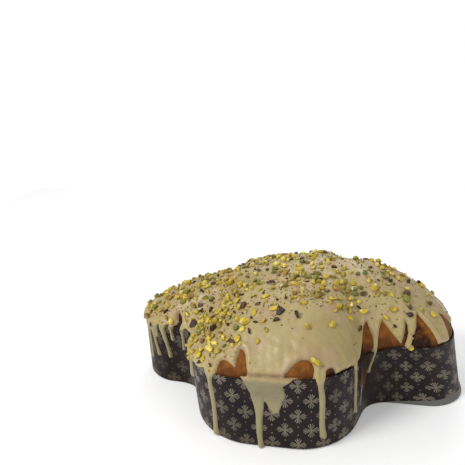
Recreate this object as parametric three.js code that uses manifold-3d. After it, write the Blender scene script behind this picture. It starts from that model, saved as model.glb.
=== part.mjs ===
import * as THREE from "three";
import { mergeVertices } from "three/addons/utils/BufferGeometryUtils.js";
import Module from "manifold-3d";

// A bird-shaped Easter loaf baked in its paper mould, glazed, with runs of glaze down the paper and
// chopped pistachios and dark chocolate on top. Millimetres, +Z up, standing on z = 0. The middle of
// the wings is over the origin, the head points to -X, the tail to +X and the wings to -Y and +Y.

// Plan of the mould at the table
const HEAD_TIP = 141;
const HEAD_HALF_WIDTH = 34;
const WING_HALF_WIDTH = 74;
const WING_REACH = 110;
const WING_CORNER = 56;
const TAIL_TIP = 168.5;
const TAIL_HALF_WIDTH = 47;
const TAIL_CORNER = 36;
const TAIL_SIDE = 8;
const NOTCH_BLEND = 33.5;

// Paper wall: the baked loaf widens the rim of the wings and pulls that of the tail in and forwards
const RIM_HEIGHT = 64.5;
const RIM_LEAN = 0.5;
const WING_RIM_X = -2;
const WING_RIM_WIDER = 2;
const TAIL_RIM_X = -13;
const TAIL_RIM_Y = -7.5;
const PAPER = 1.0;
const FOOT_ROUND = 2.2;
const GAP = 0.5;

// Crown of the loaf
const MID_X = 30;
const MID_Y = 4;
const DOME_HEIGHT = 46;
const DOME_POWER = 2.7;
const DOME_TILT = 0.11;
const SHOULDER_HEIGHT = 4.5;
const SHOULDER_NEAR = 3;
const SHOULDER_HEAD = -3;
const SHOULDER_WIDTH = 13;
const UNEVEN = 1.3;
const VALLEY_DEPTH = 6;
const VALLEY_HALF = 0.3;
const VALLEYS = [-154, -50, 49, 154];

// Glaze
const GLAZE = 2.3;
const GLAZE_BEAD = 0.9;
const GLAZE_END = 0.7;
const FULL_COVER = 0.74;

// Crust left bare above the rim: angle about the middle, half width (degrees), height (mm)
const BARE = [
  [-119.5, 4.8, 20], [-93, 7.2, 15], [-75, 5, 5], [-55, 12.5, 22], [-39, 5, 18], [-26.5, 4.3, 21],
  [-11, 3.6, 16], [12, 5, 12], [30, 7, 17], [54, 8, 21], [83, 7, 12], [108, 6, 16], [133, 7, 11],
  [158, 4, 9],
];

// Runs of glaze over the rim: angle where each starts and ends (degrees), half width, length down the
// paper, and height of its start above the rim
const RUNS = [
  [-176, -176, 7, 11, 5], [-169, -169, 7.5, 12, 5], [-163, -163, 8, 10, 5],
  [-170.5, -170.5, 1.7, 44, 6], [-167.2, -167, 1.6, 36, 6], [-164, -164.2, 2.4, 17, 6],
  [-161.5, -161, 2.2, 34, 6], [-140, -139, 3.2, 19, 6], [-126, -124, 2.7, 60, 6],
  [-105.6, -105.8, 12.5, 6.5, 4.7], [-107.6, -107.5, 3.1, 62, 6], [-102, -101.5, 6.2, 29, 5],
  [-84.8, -84.6, 2.7, 56, 6], [-66.5, -64.6, 1.5, 48, 5], [-45, -51, 1.7, 21, 9],
  [-33, -32.6, 2.6, 5, 5], [3, 3, 3.0, 34, 6], [20, 20.6, 2.4, 21, 6], [42, 42, 3.4, 46, 6],
  [68, 67.4, 2.8, 31, 6], [96, 96, 3.6, 55, 6], [121, 121.8, 2.7, 26, 6], [147, 147, 3.2, 38, 6],
  [174, 174, 2.4, 29, 6],
];
const RUN_THICK = 1.9;

// Strip of dough baked over the rim in the notch between the near wing and the tail
const STRIP = [-60.5, -59, 4, 26, 7];

// Chopped pistachios and chocolate
const BITS = 110;
const BIT_LENGTH = 5.6;
const BIT_SEED = 7;

const COLUMNS = 144;
const radians = THREE.MathUtils.degToRad;

function roundedBox(x, y, midX, midY, halfX, halfY, corner) {
  const dx = Math.abs(x - midX) - halfX + corner;
  const dy = Math.abs(y - midY) - halfY + corner;
  return Math.hypot(Math.max(dx, 0), Math.max(dy, 0)) + Math.min(Math.max(dx, dy), 0) - corner;
}

function blend(a, b) {
  const near = Math.max(1 - Math.abs(a - b) / NOTCH_BLEND, 0);
  return Math.min(a, b) - (near * near * NOTCH_BLEND) / 4;
}

// Distance outside the paper's outer face, at a level from 0 at the table to 1 at the rim
function outside(x, y, level) {
  const wingHalf = WING_HALF_WIDTH + level * WING_RIM_WIDER;
  const wings = roundedBox(x, y, level * WING_RIM_X, 0, wingHalf, WING_REACH, WING_CORNER);
  const head = roundedBox(x, y, -HEAD_TIP / 2, 0, HEAD_TIP / 2, HEAD_HALF_WIDTH, HEAD_HALF_WIDTH);
  const tailX = TAIL_TIP / 2 + level * TAIL_RIM_X;
  const tailY = TAIL_SIDE + level * TAIL_RIM_Y;
  const tail = roundedBox(x, y, tailX, tailY, TAIL_TIP / 2, TAIL_HALF_WIDTH, TAIL_CORNER);
  return blend(blend(wings, head), tail) - level * RIM_LEAN;
}

// Distance from the middle to the table or rim outline in one direction, with an inset
function outlineReach(angle, level, inset) {
  let low = 20;
  let high = 220;
  for (let step = 0; step < 36; step++) {
    const reach = (low + high) / 2;
    const x = MID_X + reach * Math.cos(angle);
    const y = MID_Y + reach * Math.sin(angle);
    if (outside(x, y, level) > -inset) high = reach;
    else low = reach;
  }
  return low;
}

// The wall is straight from the table outline to the rim outline
function wallReach(angle, level, inset) {
  const rim = outlineReach(angle, 1, inset);
  return level === 1 ? rim : THREE.MathUtils.lerp(outlineReach(angle, 0, inset), rim, level);
}

function wallPoint(angle, z, inset) {
  const reach = wallReach(angle, Math.min(z / RIM_HEIGHT, 1), inset);
  return new THREE.Vector3(MID_X + reach * Math.cos(angle), MID_Y + reach * Math.sin(angle), z);
}

function turnBetween(a, b) {
  return Math.abs(THREE.MathUtils.euclideanModulo(a - b + Math.PI, 2 * Math.PI) - Math.PI);
}

// Point on the crust, from 0 at the middle of the crown to 1 at the rim
function crustPoint(angle, part) {
  const c = Math.cos(angle);
  const s = Math.sin(angle);
  const reach = wallReach(angle, 1, PAPER + GAP);
  const x = MID_X + reach * part * c;
  const y = MID_Y + reach * part * s;
  const change = SHOULDER_NEAR * Math.max(-s, 0) ** 2 + SHOULDER_HEAD * Math.max(-c, 0) ** 2;
  const shoulder = SHOULDER_HEIGHT + change * part * part;
  const rise = 1 - Math.min(((1 - part) * reach) / SHOULDER_WIDTH, 1);
  const fall = 1 - part ** DOME_POWER;
  const dome = DOME_HEIGHT * fall * (1 + (DOME_TILT * (x - MID_X)) / 100);
  const waves = UNEVEN * Math.sin(x / 21 + 1.3) * Math.sin(y / 17 + 0.4) * (1 - part ** 4);
  let valley = 0;
  for (const notch of VALLEYS) {
    valley += Math.max(1 - (turnBetween(angle, radians(notch)) / VALLEY_HALF) ** 2, 0) ** 2;
  }
  const groove = VALLEY_DEPTH * valley * part ** 3 * (1 - part ** 6);
  const height = shoulder * Math.sqrt(1 - rise * rise) + dome + waves - groove;
  return new THREE.Vector3(x, y, RIM_HEIGHT + height);
}

function crustNormal(angle, part) {
  if (part < 0.01) return new THREE.Vector3(0, 0, 1);
  const along = crustPoint(angle + 0.004, part).sub(crustPoint(angle - 0.004, part));
  const down = crustPoint(angle, Math.min(part + 0.003, 1)).sub(crustPoint(angle, part - 0.003));
  return down.cross(along).normalize();
}

function overCrust(angle, part, lift) {
  return crustPoint(angle, part).addScaledVector(crustNormal(angle, part), lift);
}

// How far out the crust is at a height above the rim, as a part of its reach
function partAtHeight(angle, height) {
  let low = 0.5;
  let high = 1;
  for (let step = 0; step < 30; step++) {
    const part = (low + high) / 2;
    if (crustPoint(angle, part).z - RIM_HEIGHT > height) low = part;
    else high = part;
  }
  return low;
}

// Angles of the columns, closer together on the near side than on the far side
function columnAngles(count) {
  const steps = 2880;
  const total = [0];
  let last = wallPoint(-Math.PI, RIM_HEIGHT, 0);
  for (let i = 1; i <= steps; i++) {
    const angle = -Math.PI + (2 * Math.PI * i) / steps;
    const point = wallPoint(angle, RIM_HEIGHT, 0);
    total.push(total[i - 1] + point.distanceTo(last) * (1.1 - 0.4 * Math.sin(angle)));
    last = point;
  }
  const angles = [];
  let i = 0;
  for (let column = 0; column < count; column++) {
    const wanted = (total[steps] * column) / count;
    while (total[i + 1] <= wanted) i++;
    const between = (wanted - total[i]) / (total[i + 1] - total[i]);
    angles.push(-Math.PI + (2 * Math.PI * (i + between)) / steps);
  }
  return angles;
}

// Height of the glaze's lower edge above the rim
function edgeHeight(angle) {
  let height = GLAZE_END;
  for (const [middle, half, top] of BARE) {
    const across = turnBetween(angle, radians(middle)) / radians(half);
    if (across < 1) height = Math.max(height, top * (1 - across ** 1.7));
  }
  return height;
}

const ANGLES = columnAngles(COLUMNS);
const EDGES = new Map(ANGLES.map((angle) => [angle, partAtHeight(angle, edgeHeight(angle))]));

function ring(every, place) {
  return ANGLES.filter((_, i) => i % every === 0).map(place);
}

// Ring over the crust at a share of the way from the middle of the crown to the glaze's lower edge
function crownRing(every, share, lift) {
  return ring(every, (angle) => {
    const spread = (EDGES.get(angle) - FULL_COVER) / (1 - FULL_COVER);
    const part = share < FULL_COVER ? share : FULL_COVER + (share - FULL_COVER) * spread;
    return overCrust(angle, part, lift);
  });
}

// Closed surface through a stack of rings, each as long as the next, half or twice as long, or one point
function closedSurface(rings) {
  const points = rings.flat();
  const index = [];
  const face = (...corners) => index.push(...corners);
  let start = 0;
  for (let r = 0; r + 1 < rings.length; r++) {
    const n = rings[r].length;
    const m = rings[r + 1].length;
    const first = start;
    const a = (i) => first + (i % n);
    const b = (i) => first + n + (i % m);
    if (n === 1) {
      for (let i = 0; i < m; i++) face(a(0), b(i), b(i + 1));
    } else if (m === 1) {
      for (let i = 0; i < n; i++) face(a(i), b(0), a(i + 1));
    } else if (m === 2 * n) {
      for (let i = 0; i < n; i++) {
        face(a(i), b(2 * i), b(2 * i + 1));
        face(a(i), b(2 * i + 1), a(i + 1));
        face(a(i + 1), b(2 * i + 1), b(2 * i + 2));
      }
    } else if (n === 2 * m) {
      for (let i = 0; i < m; i++) {
        face(a(2 * i), b(i), a(2 * i + 1));
        face(a(2 * i + 1), b(i), b(i + 1));
        face(a(2 * i + 1), b(i + 1), a(2 * i + 2));
      }
    } else {
      for (let i = 0; i < n; i++) {
        const across = points[a(i)].distanceTo(points[b(i + 1)]);
        const shorter = across < points[a(i + 1)].distanceTo(points[b(i)]);
        face(a(i), b(i), shorter ? b(i + 1) : a(i + 1));
        face(shorter ? a(i) : b(i), b(i + 1), a(i + 1));
      }
    }
    start += n;
  }
  return new THREE.BufferGeometry().setFromPoints(points).setIndex(index);
}

const wasm = await Module();
wasm.setup();

function toSolid(geometry) {
  const plain = geometry.clone();
  for (const name of Object.keys(plain.attributes)) if (name !== "position") plain.deleteAttribute(name);
  const merged = mergeVertices(plain, 1e-4);
  return new wasm.Manifold(
    new wasm.Mesh({
      numProp: 3,
      vertProperties: Float32Array.from(merged.attributes.position.array),
      triVerts: Uint32Array.from(merged.index.array),
    }),
  );
}

function toGeometry(solid) {
  const mesh = solid.getMesh();
  const geometry = new THREE.BufferGeometry();
  geometry.setAttribute("position", new THREE.BufferAttribute(Float32Array.from(mesh.vertProperties), 3));
  geometry.setIndex(new THREE.BufferAttribute(Uint32Array.from(mesh.triVerts), 1));
  return geometry;
}

// The mould: a tray of one paper wall and floor, with a rounded foot
function paperMould() {
  return closedSurface([
    [new THREE.Vector3(MID_X, MID_Y, PAPER)],
    ring(1, (angle) => wallPoint(angle, PAPER, PAPER + 0.3)),
    ring(1, (angle) => wallPoint(angle, RIM_HEIGHT, PAPER)),
    ring(1, (angle) => wallPoint(angle, RIM_HEIGHT, 0)),
    ring(1, (angle) => wallPoint(angle, FOOT_ROUND, 0)),
    ring(1, (angle) => wallPoint(angle, 0, FOOT_ROUND * 0.7)),
    [new THREE.Vector3(MID_X, MID_Y, 0)],
  ]);
}

// The baked dough: it fills the paper and rises over it in a crown with a valley at each notch
function loaf() {
  const floor = PAPER + GAP;
  const body = closedSurface([
    [crustPoint(0, 0)],
    crownRing(16, 0.15, 0),
    crownRing(8, 0.3, 0),
    crownRing(4, 0.45, 0),
    crownRing(4, 0.6, 0),
    crownRing(2, FULL_COVER, 0),
    crownRing(1, 0.86, 0),
    crownRing(1, 0.95, 0),
    crownRing(1, 1, 0),
    ring(1, (angle) => crustPoint(angle, (1 + EDGES.get(angle)) / 2)),
    ring(1, (angle) => crustPoint(angle, 1)),
    ring(1, (angle) => wallPoint(angle, floor + 5, floor + 0.6)),
    ring(2, (angle) => wallPoint(angle, floor, floor + 5)),
    [new THREE.Vector3(MID_X, MID_Y, floor)],
  ]);
  return toGeometry(toSolid(body).add(toSolid(overRim(STRIP, 0.9, -1.2))));
}

function middleOf(points) {
  const sum = points.reduce((total, point) => total.add(point), new THREE.Vector3());
  return sum.divideScalar(points.length);
}

// A run that starts over the crust, passes clear of the paper's edge and hangs down its face
function overRim([from, to, half, length, start], thick, sunk) {
  const drop = Math.min(half, length * 0.3);
  const heights = [start, 1, 0.3, -length * 0.2, -length + 2 * drop, -length + 0.7 * drop, -length];
  const smear = half > length * 0.6;
  const widths = smear ? [0.9, 1.1, 1.1, 1.08, 1, 0.85, 0.6] : [0.8, 1.2, 1.15, 0.9, 0.85, 1.05, 0.5];
  const lifts = [-0.4, 0.9, 1, 0.85, 0.85, smear ? 0.6 : 1.1, smear ? 0.2 : 0.5];
  const rings = heights.map((height, row) => {
    const angle = radians(THREE.MathUtils.lerp(from, to, (start - height) / (start + length)));
    const z = RIM_HEIGHT + height;
    const onWall = Math.min(z, RIM_HEIGHT);
    const perMm = 0.01 / wallPoint(angle + 0.01, onWall, 0).distanceTo(wallPoint(angle, onWall, 0));
    const place = (across, lift) => {
      const turned = angle + perMm * across * half * widths[row];
      if (height > 0.5) return overCrust(turned, partAtHeight(turned, height), lift);
      return wallPoint(turned, z, -lift);
    };
    const inner = height > 0.5 ? GAP + 0.3 + sunk : GAP;
    const outer = (height > 0.5 ? GAP + GLAZE + sunk * 0.8 : GAP) + thick * lifts[row];
    const side = inner + (outer - inner) * 0.3;
    const full = inner + (outer - inner) * 0.85;
    return [
      place(-1, inner), place(-1.1, side), place(-0.55, full), place(0, outer), place(0.55, full),
      place(1.1, side), place(1, inner), place(0, inner),
    ];
  });
  return closedSurface([[middleOf(rings[0])], ...rings, [middleOf(rings.at(-1))]]);
}

// Numbers between 0 and 1 that are the same on every run
function seeded(seed) {
  let state = seed;
  return () => {
    state = (state * 1664525 + 1013904223) % 4294967296;
    return state / 4294967296;
  };
}

// Where a bit lies: thick on the crown and towards the head, thin on the front of the near wing and tail
function bitPlaces(random) {
  const places = [];
  for (let tries = 0; places.length < BITS && tries < 60000; tries++) {
    const x = THREE.MathUtils.lerp(-130, 150, random());
    const y = THREE.MathUtils.lerp(-106, 106, random());
    const keep = random();
    const angle = Math.atan2(y - MID_Y, x - MID_X);
    const part = Math.hypot(x - MID_X, y - MID_Y) / wallReach(angle, 1, PAPER + GAP);
    if (part > 0.985 * partAtHeight(angle, edgeHeight(angle) + 4)) continue;
    const front = THREE.MathUtils.smoothstep(-y, 45, 85) * THREE.MathUtils.smoothstep(x, -45, 0);
    const share = (1 - 0.55 * part * part) * (1 - 0.9 * front);
    const length = BIT_LENGTH * (1 - (0.4 * places.length) / BITS);
    const apart = length + 1.2;
    if (keep > share || places.some((p) => Math.hypot(p.x - x, p.y - y) < apart)) continue;
    places.push({ x, y, angle, part, length });
  }
  return places;
}

// One chopped bit: an uneven angular lump, a third of it sunk in the glaze
function bit({ angle, part, length }, random) {
  const box = new THREE.BoxGeometry(1, 1, 1).deleteAttribute("normal").deleteAttribute("uv");
  const shape = mergeVertices(box);
  const corner = new THREE.Vector3();
  for (let i = 0; i < shape.attributes.position.count; i++) {
    corner.fromBufferAttribute(shape.attributes.position, i);
    const uneven = [0.7 + 0.5 * random(), 0.7 + 0.5 * random(), 0.8 + 0.3 * random()];
    corner.multiply(new THREE.Vector3(...uneven));
    shape.attributes.position.setXYZ(i, corner.x, corner.y, corner.z);
  }
  const up = crustNormal(angle, part);
  const turn = new THREE.Quaternion().setFromUnitVectors(new THREE.Vector3(0, 0, 1), up);
  turn.multiply(new THREE.Quaternion().setFromEuler(new THREE.Euler(0, 0, random() * 2 * Math.PI)));
  const size = new THREE.Vector3(length, length * (0.6 + 0.2 * random()), length * 0.7);
  const place = overCrust(angle, part, GAP + GLAZE + length * 0.04);
  return shape.applyMatrix4(new THREE.Matrix4().compose(place, turn, size));
}

// The glaze: a skin over the crown with a scalloped, rolled lower edge, its runs and the bits in it
function glaze() {
  const outer = GAP + GLAZE;
  let solid = toSolid(
    closedSurface([
      [overCrust(0, 0, outer)],
      crownRing(16, 0.15, outer),
      crownRing(8, 0.3, outer),
      crownRing(4, 0.45, outer),
      crownRing(4, 0.6, outer),
      crownRing(2, FULL_COVER, outer),
      crownRing(1, 0.86, outer + GLAZE_BEAD * 0.2),
      crownRing(1, 0.95, outer + GLAZE_BEAD * 0.6),
      crownRing(1, 0.99, outer + GLAZE_BEAD * 0.1),
      crownRing(1, 1, GAP + GLAZE * 0.35),
      crownRing(1, 0.985, GAP),
      crownRing(1, 0.95, GAP),
      crownRing(1, 0.86, GAP),
      crownRing(2, FULL_COVER, GAP),
      crownRing(4, 0.6, GAP),
      crownRing(4, 0.45, GAP),
      crownRing(8, 0.3, GAP),
      crownRing(16, 0.15, GAP),
      [overCrust(0, 0, GAP)],
    ]),
  );
  for (const run of RUNS) solid = solid.add(toSolid(overRim(run, RUN_THICK, 0)));
  const random = seeded(BIT_SEED);
  for (const place of bitPlaces(random)) solid = solid.add(toSolid(bit(place, random)));
  return toGeometry(solid);
}

function named(name, geometry, color, roughness) {
  geometry.computeVertexNormals();
  const mesh = new THREE.Mesh(geometry, new THREE.MeshStandardMaterial({ color, roughness, metalness: 0 }));
  mesh.name = name;
  return mesh;
}

const colomba = new THREE.Group();
colomba.add(
  named("paper_mould", paperMould(), 0x352a2c, 0.75),
  named("loaf", loaf(), 0x8f5424, 0.7),
  named("glaze", glaze(), 0xc8bb93, 0.4),
);

export default colomba;
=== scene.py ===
# %% [markdown]
# A glazed Easter loaf in its bird-shaped paper mould. The packed model gives three solids: the mould, the
# baked loaf and the glaze. This lesson dresses each of them with a fine surface, worked out with numpy
# from the same measurements, and then scatters the chopped nuts and chocolate over the glaze.

# %% Load the frame
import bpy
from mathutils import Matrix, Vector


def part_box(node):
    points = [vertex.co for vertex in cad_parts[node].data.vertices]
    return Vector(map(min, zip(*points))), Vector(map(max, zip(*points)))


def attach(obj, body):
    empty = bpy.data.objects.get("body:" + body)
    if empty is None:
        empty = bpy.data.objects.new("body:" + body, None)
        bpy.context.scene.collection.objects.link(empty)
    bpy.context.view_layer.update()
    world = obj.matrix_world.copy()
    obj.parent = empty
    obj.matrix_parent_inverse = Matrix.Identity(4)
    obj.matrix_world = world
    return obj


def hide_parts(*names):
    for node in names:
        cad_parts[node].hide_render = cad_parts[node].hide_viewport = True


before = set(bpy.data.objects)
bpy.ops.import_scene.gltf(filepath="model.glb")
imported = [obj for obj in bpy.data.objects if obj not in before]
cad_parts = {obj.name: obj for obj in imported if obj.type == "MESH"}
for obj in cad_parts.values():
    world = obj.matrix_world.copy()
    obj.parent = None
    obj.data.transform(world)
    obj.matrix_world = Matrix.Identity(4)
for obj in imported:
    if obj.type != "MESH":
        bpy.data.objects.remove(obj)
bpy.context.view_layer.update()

from types import SimpleNamespace

import bpy
import numpy as np
from mathutils import Matrix

# %% [markdown]
# A baker's mould is measured in millimetres, so the formulas use them, and the function that puts a
# surface into a mesh turns them into metres. The rim's height is read from the packed mould. The other
# measurements are the ones that the solids were made from: an outline at the table, how the baked loaf
# pushes it out at the rim, and a crown of dough over it.

# %% Measurements of the mould and the crown
MM = 0.001
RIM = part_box("paper_mould")[1].z / MM
MIDDLE = np.array([30.0, 4.0])
# reach, half width and corner radius of the three boxes of the plan, at the table
HEAD_TIP, HEAD_HALF = 141.0, 34.0
WING_HALF, WING_REACH, WING_CORNER = 74.0, 110.0, 56.0
TAIL_TIP, TAIL_HALF, TAIL_CORNER, TAIL_SIDE = 168.5, 47.0, 36.0, 8.0
NOTCH_BLEND = 33.5
# how far the boxes move and grow from the table to the rim
RIM_LEAN, WING_RIM_X, WING_RIM_WIDER = 0.5, -2.0, 2.0
TAIL_RIM_X, TAIL_RIM_Y = -13.0, -7.5
# thickness of the paper, gap between it and the loaf, and the rounding at its foot
PAPER, GAP, FOOT_ROUND = 1.0, 0.5, 2.2
# the dome's height, how flat its top is and its tilt, then the shoulder's height, its changes and width
DOME, DOME_POWER, DOME_TILT = 46.0, 2.7, 0.11
SHOULDER, SHOULDER_NEAR, SHOULDER_HEAD, SHOULDER_WIDTH = 4.5, 3.0, -3.0, 13.0
# slow waves of the crown: their height, and how long they are along x and along y
UNEVEN, WAVE_X, WAVE_Y = 1.3, 21.0, 17.0
# valleys towards the notches: half width in radians, then direction in degrees and depth in mm
VALLEY_HALF = 0.3
VALLEYS = [(-154, 6.0), (-50, 6.0), (49, 0.6), (154, 6.0)]
# where the dome stands higher or lower than its plain form: x, y, spread and rise in mm
SWELLS = [(68, 26, 24, 3.8), (-10, 62, 28, -3.8)]
print("rim of the mould at", round(RIM, 1), "mm")

# %% [markdown]
# The mould's plan is three rounded boxes, for the wings, the head and the tail, melted into each other.
# A signed distance makes that easy: each box says how far a point lies outside it, and a smooth minimum
# joins the three with round notches. A line from the middle in any direction crosses the outline once,
# so halving an interval finds the crossing for all directions at the same time.

# %% Plan of the mould
NEAREST, FARTHEST = 20.0, 220.0


def rounded_box(x, y, mid_x, mid_y, half_x, half_y, corner):
    """How far a point lies past the sides of a box shrunk by its corner radius, less that radius."""
    dx = np.abs(x - mid_x) - half_x + corner
    dy = np.abs(y - mid_y) - half_y + corner
    past = np.hypot(np.maximum(dx, 0), np.maximum(dy, 0))
    return past + np.minimum(np.maximum(dx, dy), 0) - corner


def melt(a, b):
    """The smaller of two distances, lowered where both are nearly alike, so that they join round."""
    near = np.maximum(1 - np.abs(a - b) / NOTCH_BLEND, 0)
    return np.minimum(a, b) - near**2 * NOTCH_BLEND / 4


def outside(x, y, level):
    """Distance outside the paper's outer face, at a level from 0 at the table to 1 at the rim."""
    wing_half = WING_HALF + level * WING_RIM_WIDER
    wings = rounded_box(x, y, level * WING_RIM_X, 0, wing_half, WING_REACH, WING_CORNER)
    head = rounded_box(x, y, -HEAD_TIP / 2, 0, HEAD_TIP / 2, HEAD_HALF, HEAD_HALF)
    tail_x = TAIL_TIP / 2 + level * TAIL_RIM_X
    tail_y = TAIL_SIDE + level * TAIL_RIM_Y
    tail = rounded_box(x, y, tail_x, tail_y, TAIL_TIP / 2, TAIL_HALF, TAIL_CORNER)
    return melt(melt(wings, head), tail) - level * RIM_LEAN


def halved(low, high, is_past, times):
    """Where a test turns true between two bounds, which close in on it by half each time."""
    for _ in range(times):
        between = (low + high) / 2
        past = is_past(between)
        low, high = np.where(past, low, between), np.where(past, between, high)
    return low


def outline_reach(angle, level, inset):
    """Distance from the middle, in each direction, to where the outline is still an inset away."""
    c, s = np.cos(angle), np.sin(angle)
    return halved(
        np.full_like(angle, NEAREST), np.full_like(angle, FARTHEST),
        lambda reach: outside(MIDDLE[0] + reach * c, MIDDLE[1] + reach * s, level) > -inset, 36,
    )


def polar(angle, reach, z):
    """Points at a distance and direction from the middle, at height z."""
    x = MIDDLE[0] + reach * np.cos(angle)
    y = MIDDLE[1] + reach * np.sin(angle)
    return np.stack(np.broadcast_arrays(x, y, z), -1)


def direction(points):
    """Angle of each point about the middle: the arc tangent of its y over its x, both from there."""
    return np.arctan2(points[..., 1] - MIDDLE[1], points[..., 0] - MIDDLE[0])


# %% [markdown]
# Every surface here is a grid of rows and columns. A column goes straight out from the middle of the
# crown, over the rim and down the paper, and the columns are evenly spaced along the rim, so that the
# cells stay nearly square in the notches and at the tips. Each column keeps its angle, its place along
# the rim, and how far out the paper and the crust are there.

# %% Columns round the loaf
def columns(count):
    """Evenly spaced columns, found by walking the rim once and reading it off at equal lengths."""
    fine = np.linspace(-np.pi, np.pi, 8 * count + 1)
    rim = polar(fine, outline_reach(fine, 1.0, 0.0), RIM)
    walked = np.concatenate([[0], np.cumsum(np.linalg.norm(np.diff(rim, axis=0), axis=1))])
    along = walked[-1] * np.arange(count) / count
    angle = np.interp(along, walked, fine)
    return SimpleNamespace(
        count=count,
        angle=angle,
        along=along,
        length=walked[-1],
        rim=outline_reach(angle, 1.0, 0.0),
        foot=outline_reach(angle, 0.0, 0.0),
        crust=outline_reach(angle, 1.0, PAPER + GAP),
    )


FINE = columns(1280)
print("rim", round(FINE.length), "mm round, a column every", round(FINE.length / FINE.count, 2), "mm")


def thinned(count):
    """Only so many of the fine columns: every second, fourth or so of them."""
    every = FINE.count // count
    fewer = {name: value[::every] for name, value in vars(FINE).items() if isinstance(value, np.ndarray)}
    return SimpleNamespace(count=count, length=FINE.length, **fewer)


def along_at(degrees, cols=FINE):
    """Place along the rim, in millimetres, of a direction in degrees."""
    angles, places = np.append(cols.angle, np.pi), np.append(cols.along, cols.length)
    return np.interp(np.radians(degrees), angles, places)


# %% [markdown]
# The crown of a baked loaf could be sculpted, but a formula keeps it on the packed solid. Its height is
# a dome that falls off towards the rim, a quarter-round shoulder where the dough leaves the paper, a
# valley towards each notch, and slow waves. The part runs from 0 in the middle to 1 at the rim.

# %% Crust of the crown
def turn_between(a, b):
    """The angle between two directions, from 0 to half a turn."""
    return np.abs((a - b + np.pi) % (2 * np.pi) - np.pi)


def mound(x, y, at_x, at_y, spread):
    """A bell-shaped mound 1 high: e to the power of minus the squared distance over twice the spread's."""
    return np.exp(-((x - at_x) ** 2 + (y - at_y) ** 2) / (2 * spread**2))


def crust(cols, part):
    """Points on the crust: dome, shoulder, waves and swells, less a groove in each valley."""
    c, s = np.cos(cols.angle), np.sin(cols.angle)
    x = MIDDLE[0] + cols.crust * part * c
    y = MIDDLE[1] + cols.crust * part * s
    change = SHOULDER_NEAR * np.maximum(-s, 0) ** 2 + SHOULDER_HEAD * np.maximum(-c, 0) ** 2
    outward = 1 - np.minimum((1 - part) * cols.crust / SHOULDER_WIDTH, 1)
    shoulder = (SHOULDER + change * part**2) * np.sqrt(1 - outward**2)
    dome = DOME * (1 - part**DOME_POWER) * (1 + DOME_TILT * (x - MIDDLE[0]) / 100)
    waves = UNEVEN * np.sin(x / WAVE_X + 1.3) * np.sin(y / WAVE_Y + 0.4) * (1 - part**4)
    valley = sum(
        deep * np.maximum(1 - (turn_between(cols.angle, np.radians(at)) / VALLEY_HALF) ** 2, 0) ** 2
        for at, deep in VALLEYS
    )
    groove = valley * part**3 * (1 - part**6)
    swells = sum(rise * mound(x, y, *place) for *place, rise in SWELLS)
    height = shoulder + dome + waves - groove + swells * (1 - part**6)
    return np.stack(np.broadcast_arrays(x, y, RIM + height), -1)


def part_at_height(cols, height):
    """How far out the crust is at a height above the rim, as a part, looked for in the outer half."""
    low = np.full(np.broadcast_shapes(np.shape(height), cols.angle.shape), 0.45)
    return halved(low, np.ones_like(low), lambda part: crust(cols, part)[..., 2] - RIM <= height, 26)


def unit(vectors):
    """Vectors divided by their own length."""
    return vectors / np.maximum(np.linalg.norm(vectors, axis=-1, keepdims=True), 1e-9)


def grid_normals(points):
    """Outward normals of a grid whose rows run outward and down and whose columns go round."""
    around = np.roll(points, -1, axis=1) - np.roll(points, 1, axis=1)
    return unit(np.cross(np.gradient(points, axis=0), around))


CROWN_TOP = crust(thinned(1), np.zeros((1, 1)))[0]
print("top of the crust at", np.round(CROWN_TOP[0], 1), "mm")

# %% [markdown]
# Glaze and dough both hang over the rim, so they need a path that leaves the crust, passes clear of the
# paper's edge and goes down its face. Height above the rim is a good way to count along it: above zero
# it reads the crust, below zero the paper, and near the rim it slides from one to the other.

# %% Skin that the glaze follows
SKIN_TOP, SKIN_ROW, SKIN_LOWEST = 26.0, 0.65, -64.3
SLIDE = (4.0, -3.0)
# soft waves of the paper's cut edge: direction and spread in degrees, and height in mm
RIM_WAVES = [(-90, 26, 4.0), (-44, 7, -3.2), (60, 30, 1.5), (140, 25, -1.0)]


def smooth_step(value, start, end):
    """0 at the start and 1 at the end: three times the share squared, less twice its cube."""
    t = np.clip((value - start) / (end - start), 0, 1)
    return t * t * (3 - 2 * t)


def bell(value, at, wide):
    """A bell curve: 1 at a place, and e to the power of minus 1 when one width away."""
    return np.exp(-(((value - at) / wide) ** 2))


def plateau(value, start, full, fall, end):
    """Climbs smoothly from 0 at the start to 1 at full, and sinks to 0 from the fall to the end."""
    return smooth_step(value, start, full) * (1 - smooth_step(value, fall, end))


def rim_wave(cols):
    """How far the cut edge of the paper rises or dips: a sum of bell curves by angle."""
    degrees = np.degrees(cols.angle)
    return sum(height * bell(degrees, at, spread) for at, spread, height in RIM_WAVES)


def skin(cols, heights):
    """Points at heights over the rim: the crust's above, the paper's below, and a blend near the rim."""
    height = heights[:, None]
    part = part_at_height(cols, np.maximum(height, 0))
    level = np.clip(1 + height / RIM, 0, 1)
    paper = cols.foot + (cols.rim - cols.foot) * level
    crust_reach = cols.crust * np.where(height > 0, part, 1)
    slide = smooth_step(height - rim_wave(cols), *SLIDE)
    return polar(cols.angle, crust_reach * (1 - slide) + paper * slide, RIM + height)


heights = np.arange(SKIN_TOP, SKIN_LOWEST, -SKIN_ROW)
skin_points = skin(FINE, heights)
skin_normals = grid_normals(skin_points)
steps = np.linalg.norm(np.diff(skin_points, axis=0), axis=2)
climbed = np.concatenate([np.zeros((1, FINE.count)), np.cumsum(steps, axis=0)])
rim_row = int(np.argmin(np.abs(heights)))
climb = climbed[rim_row] - climbed
print("skin grid", skin_points.shape[:2], "and its rim row", rim_row)

# %% [markdown]
# Random unevenness has to be the same on every run, so each use has a seed. A sum of sine waves in
# seeded directions makes a smooth unevenness of a chosen size that can be read at any point in space.

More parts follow.
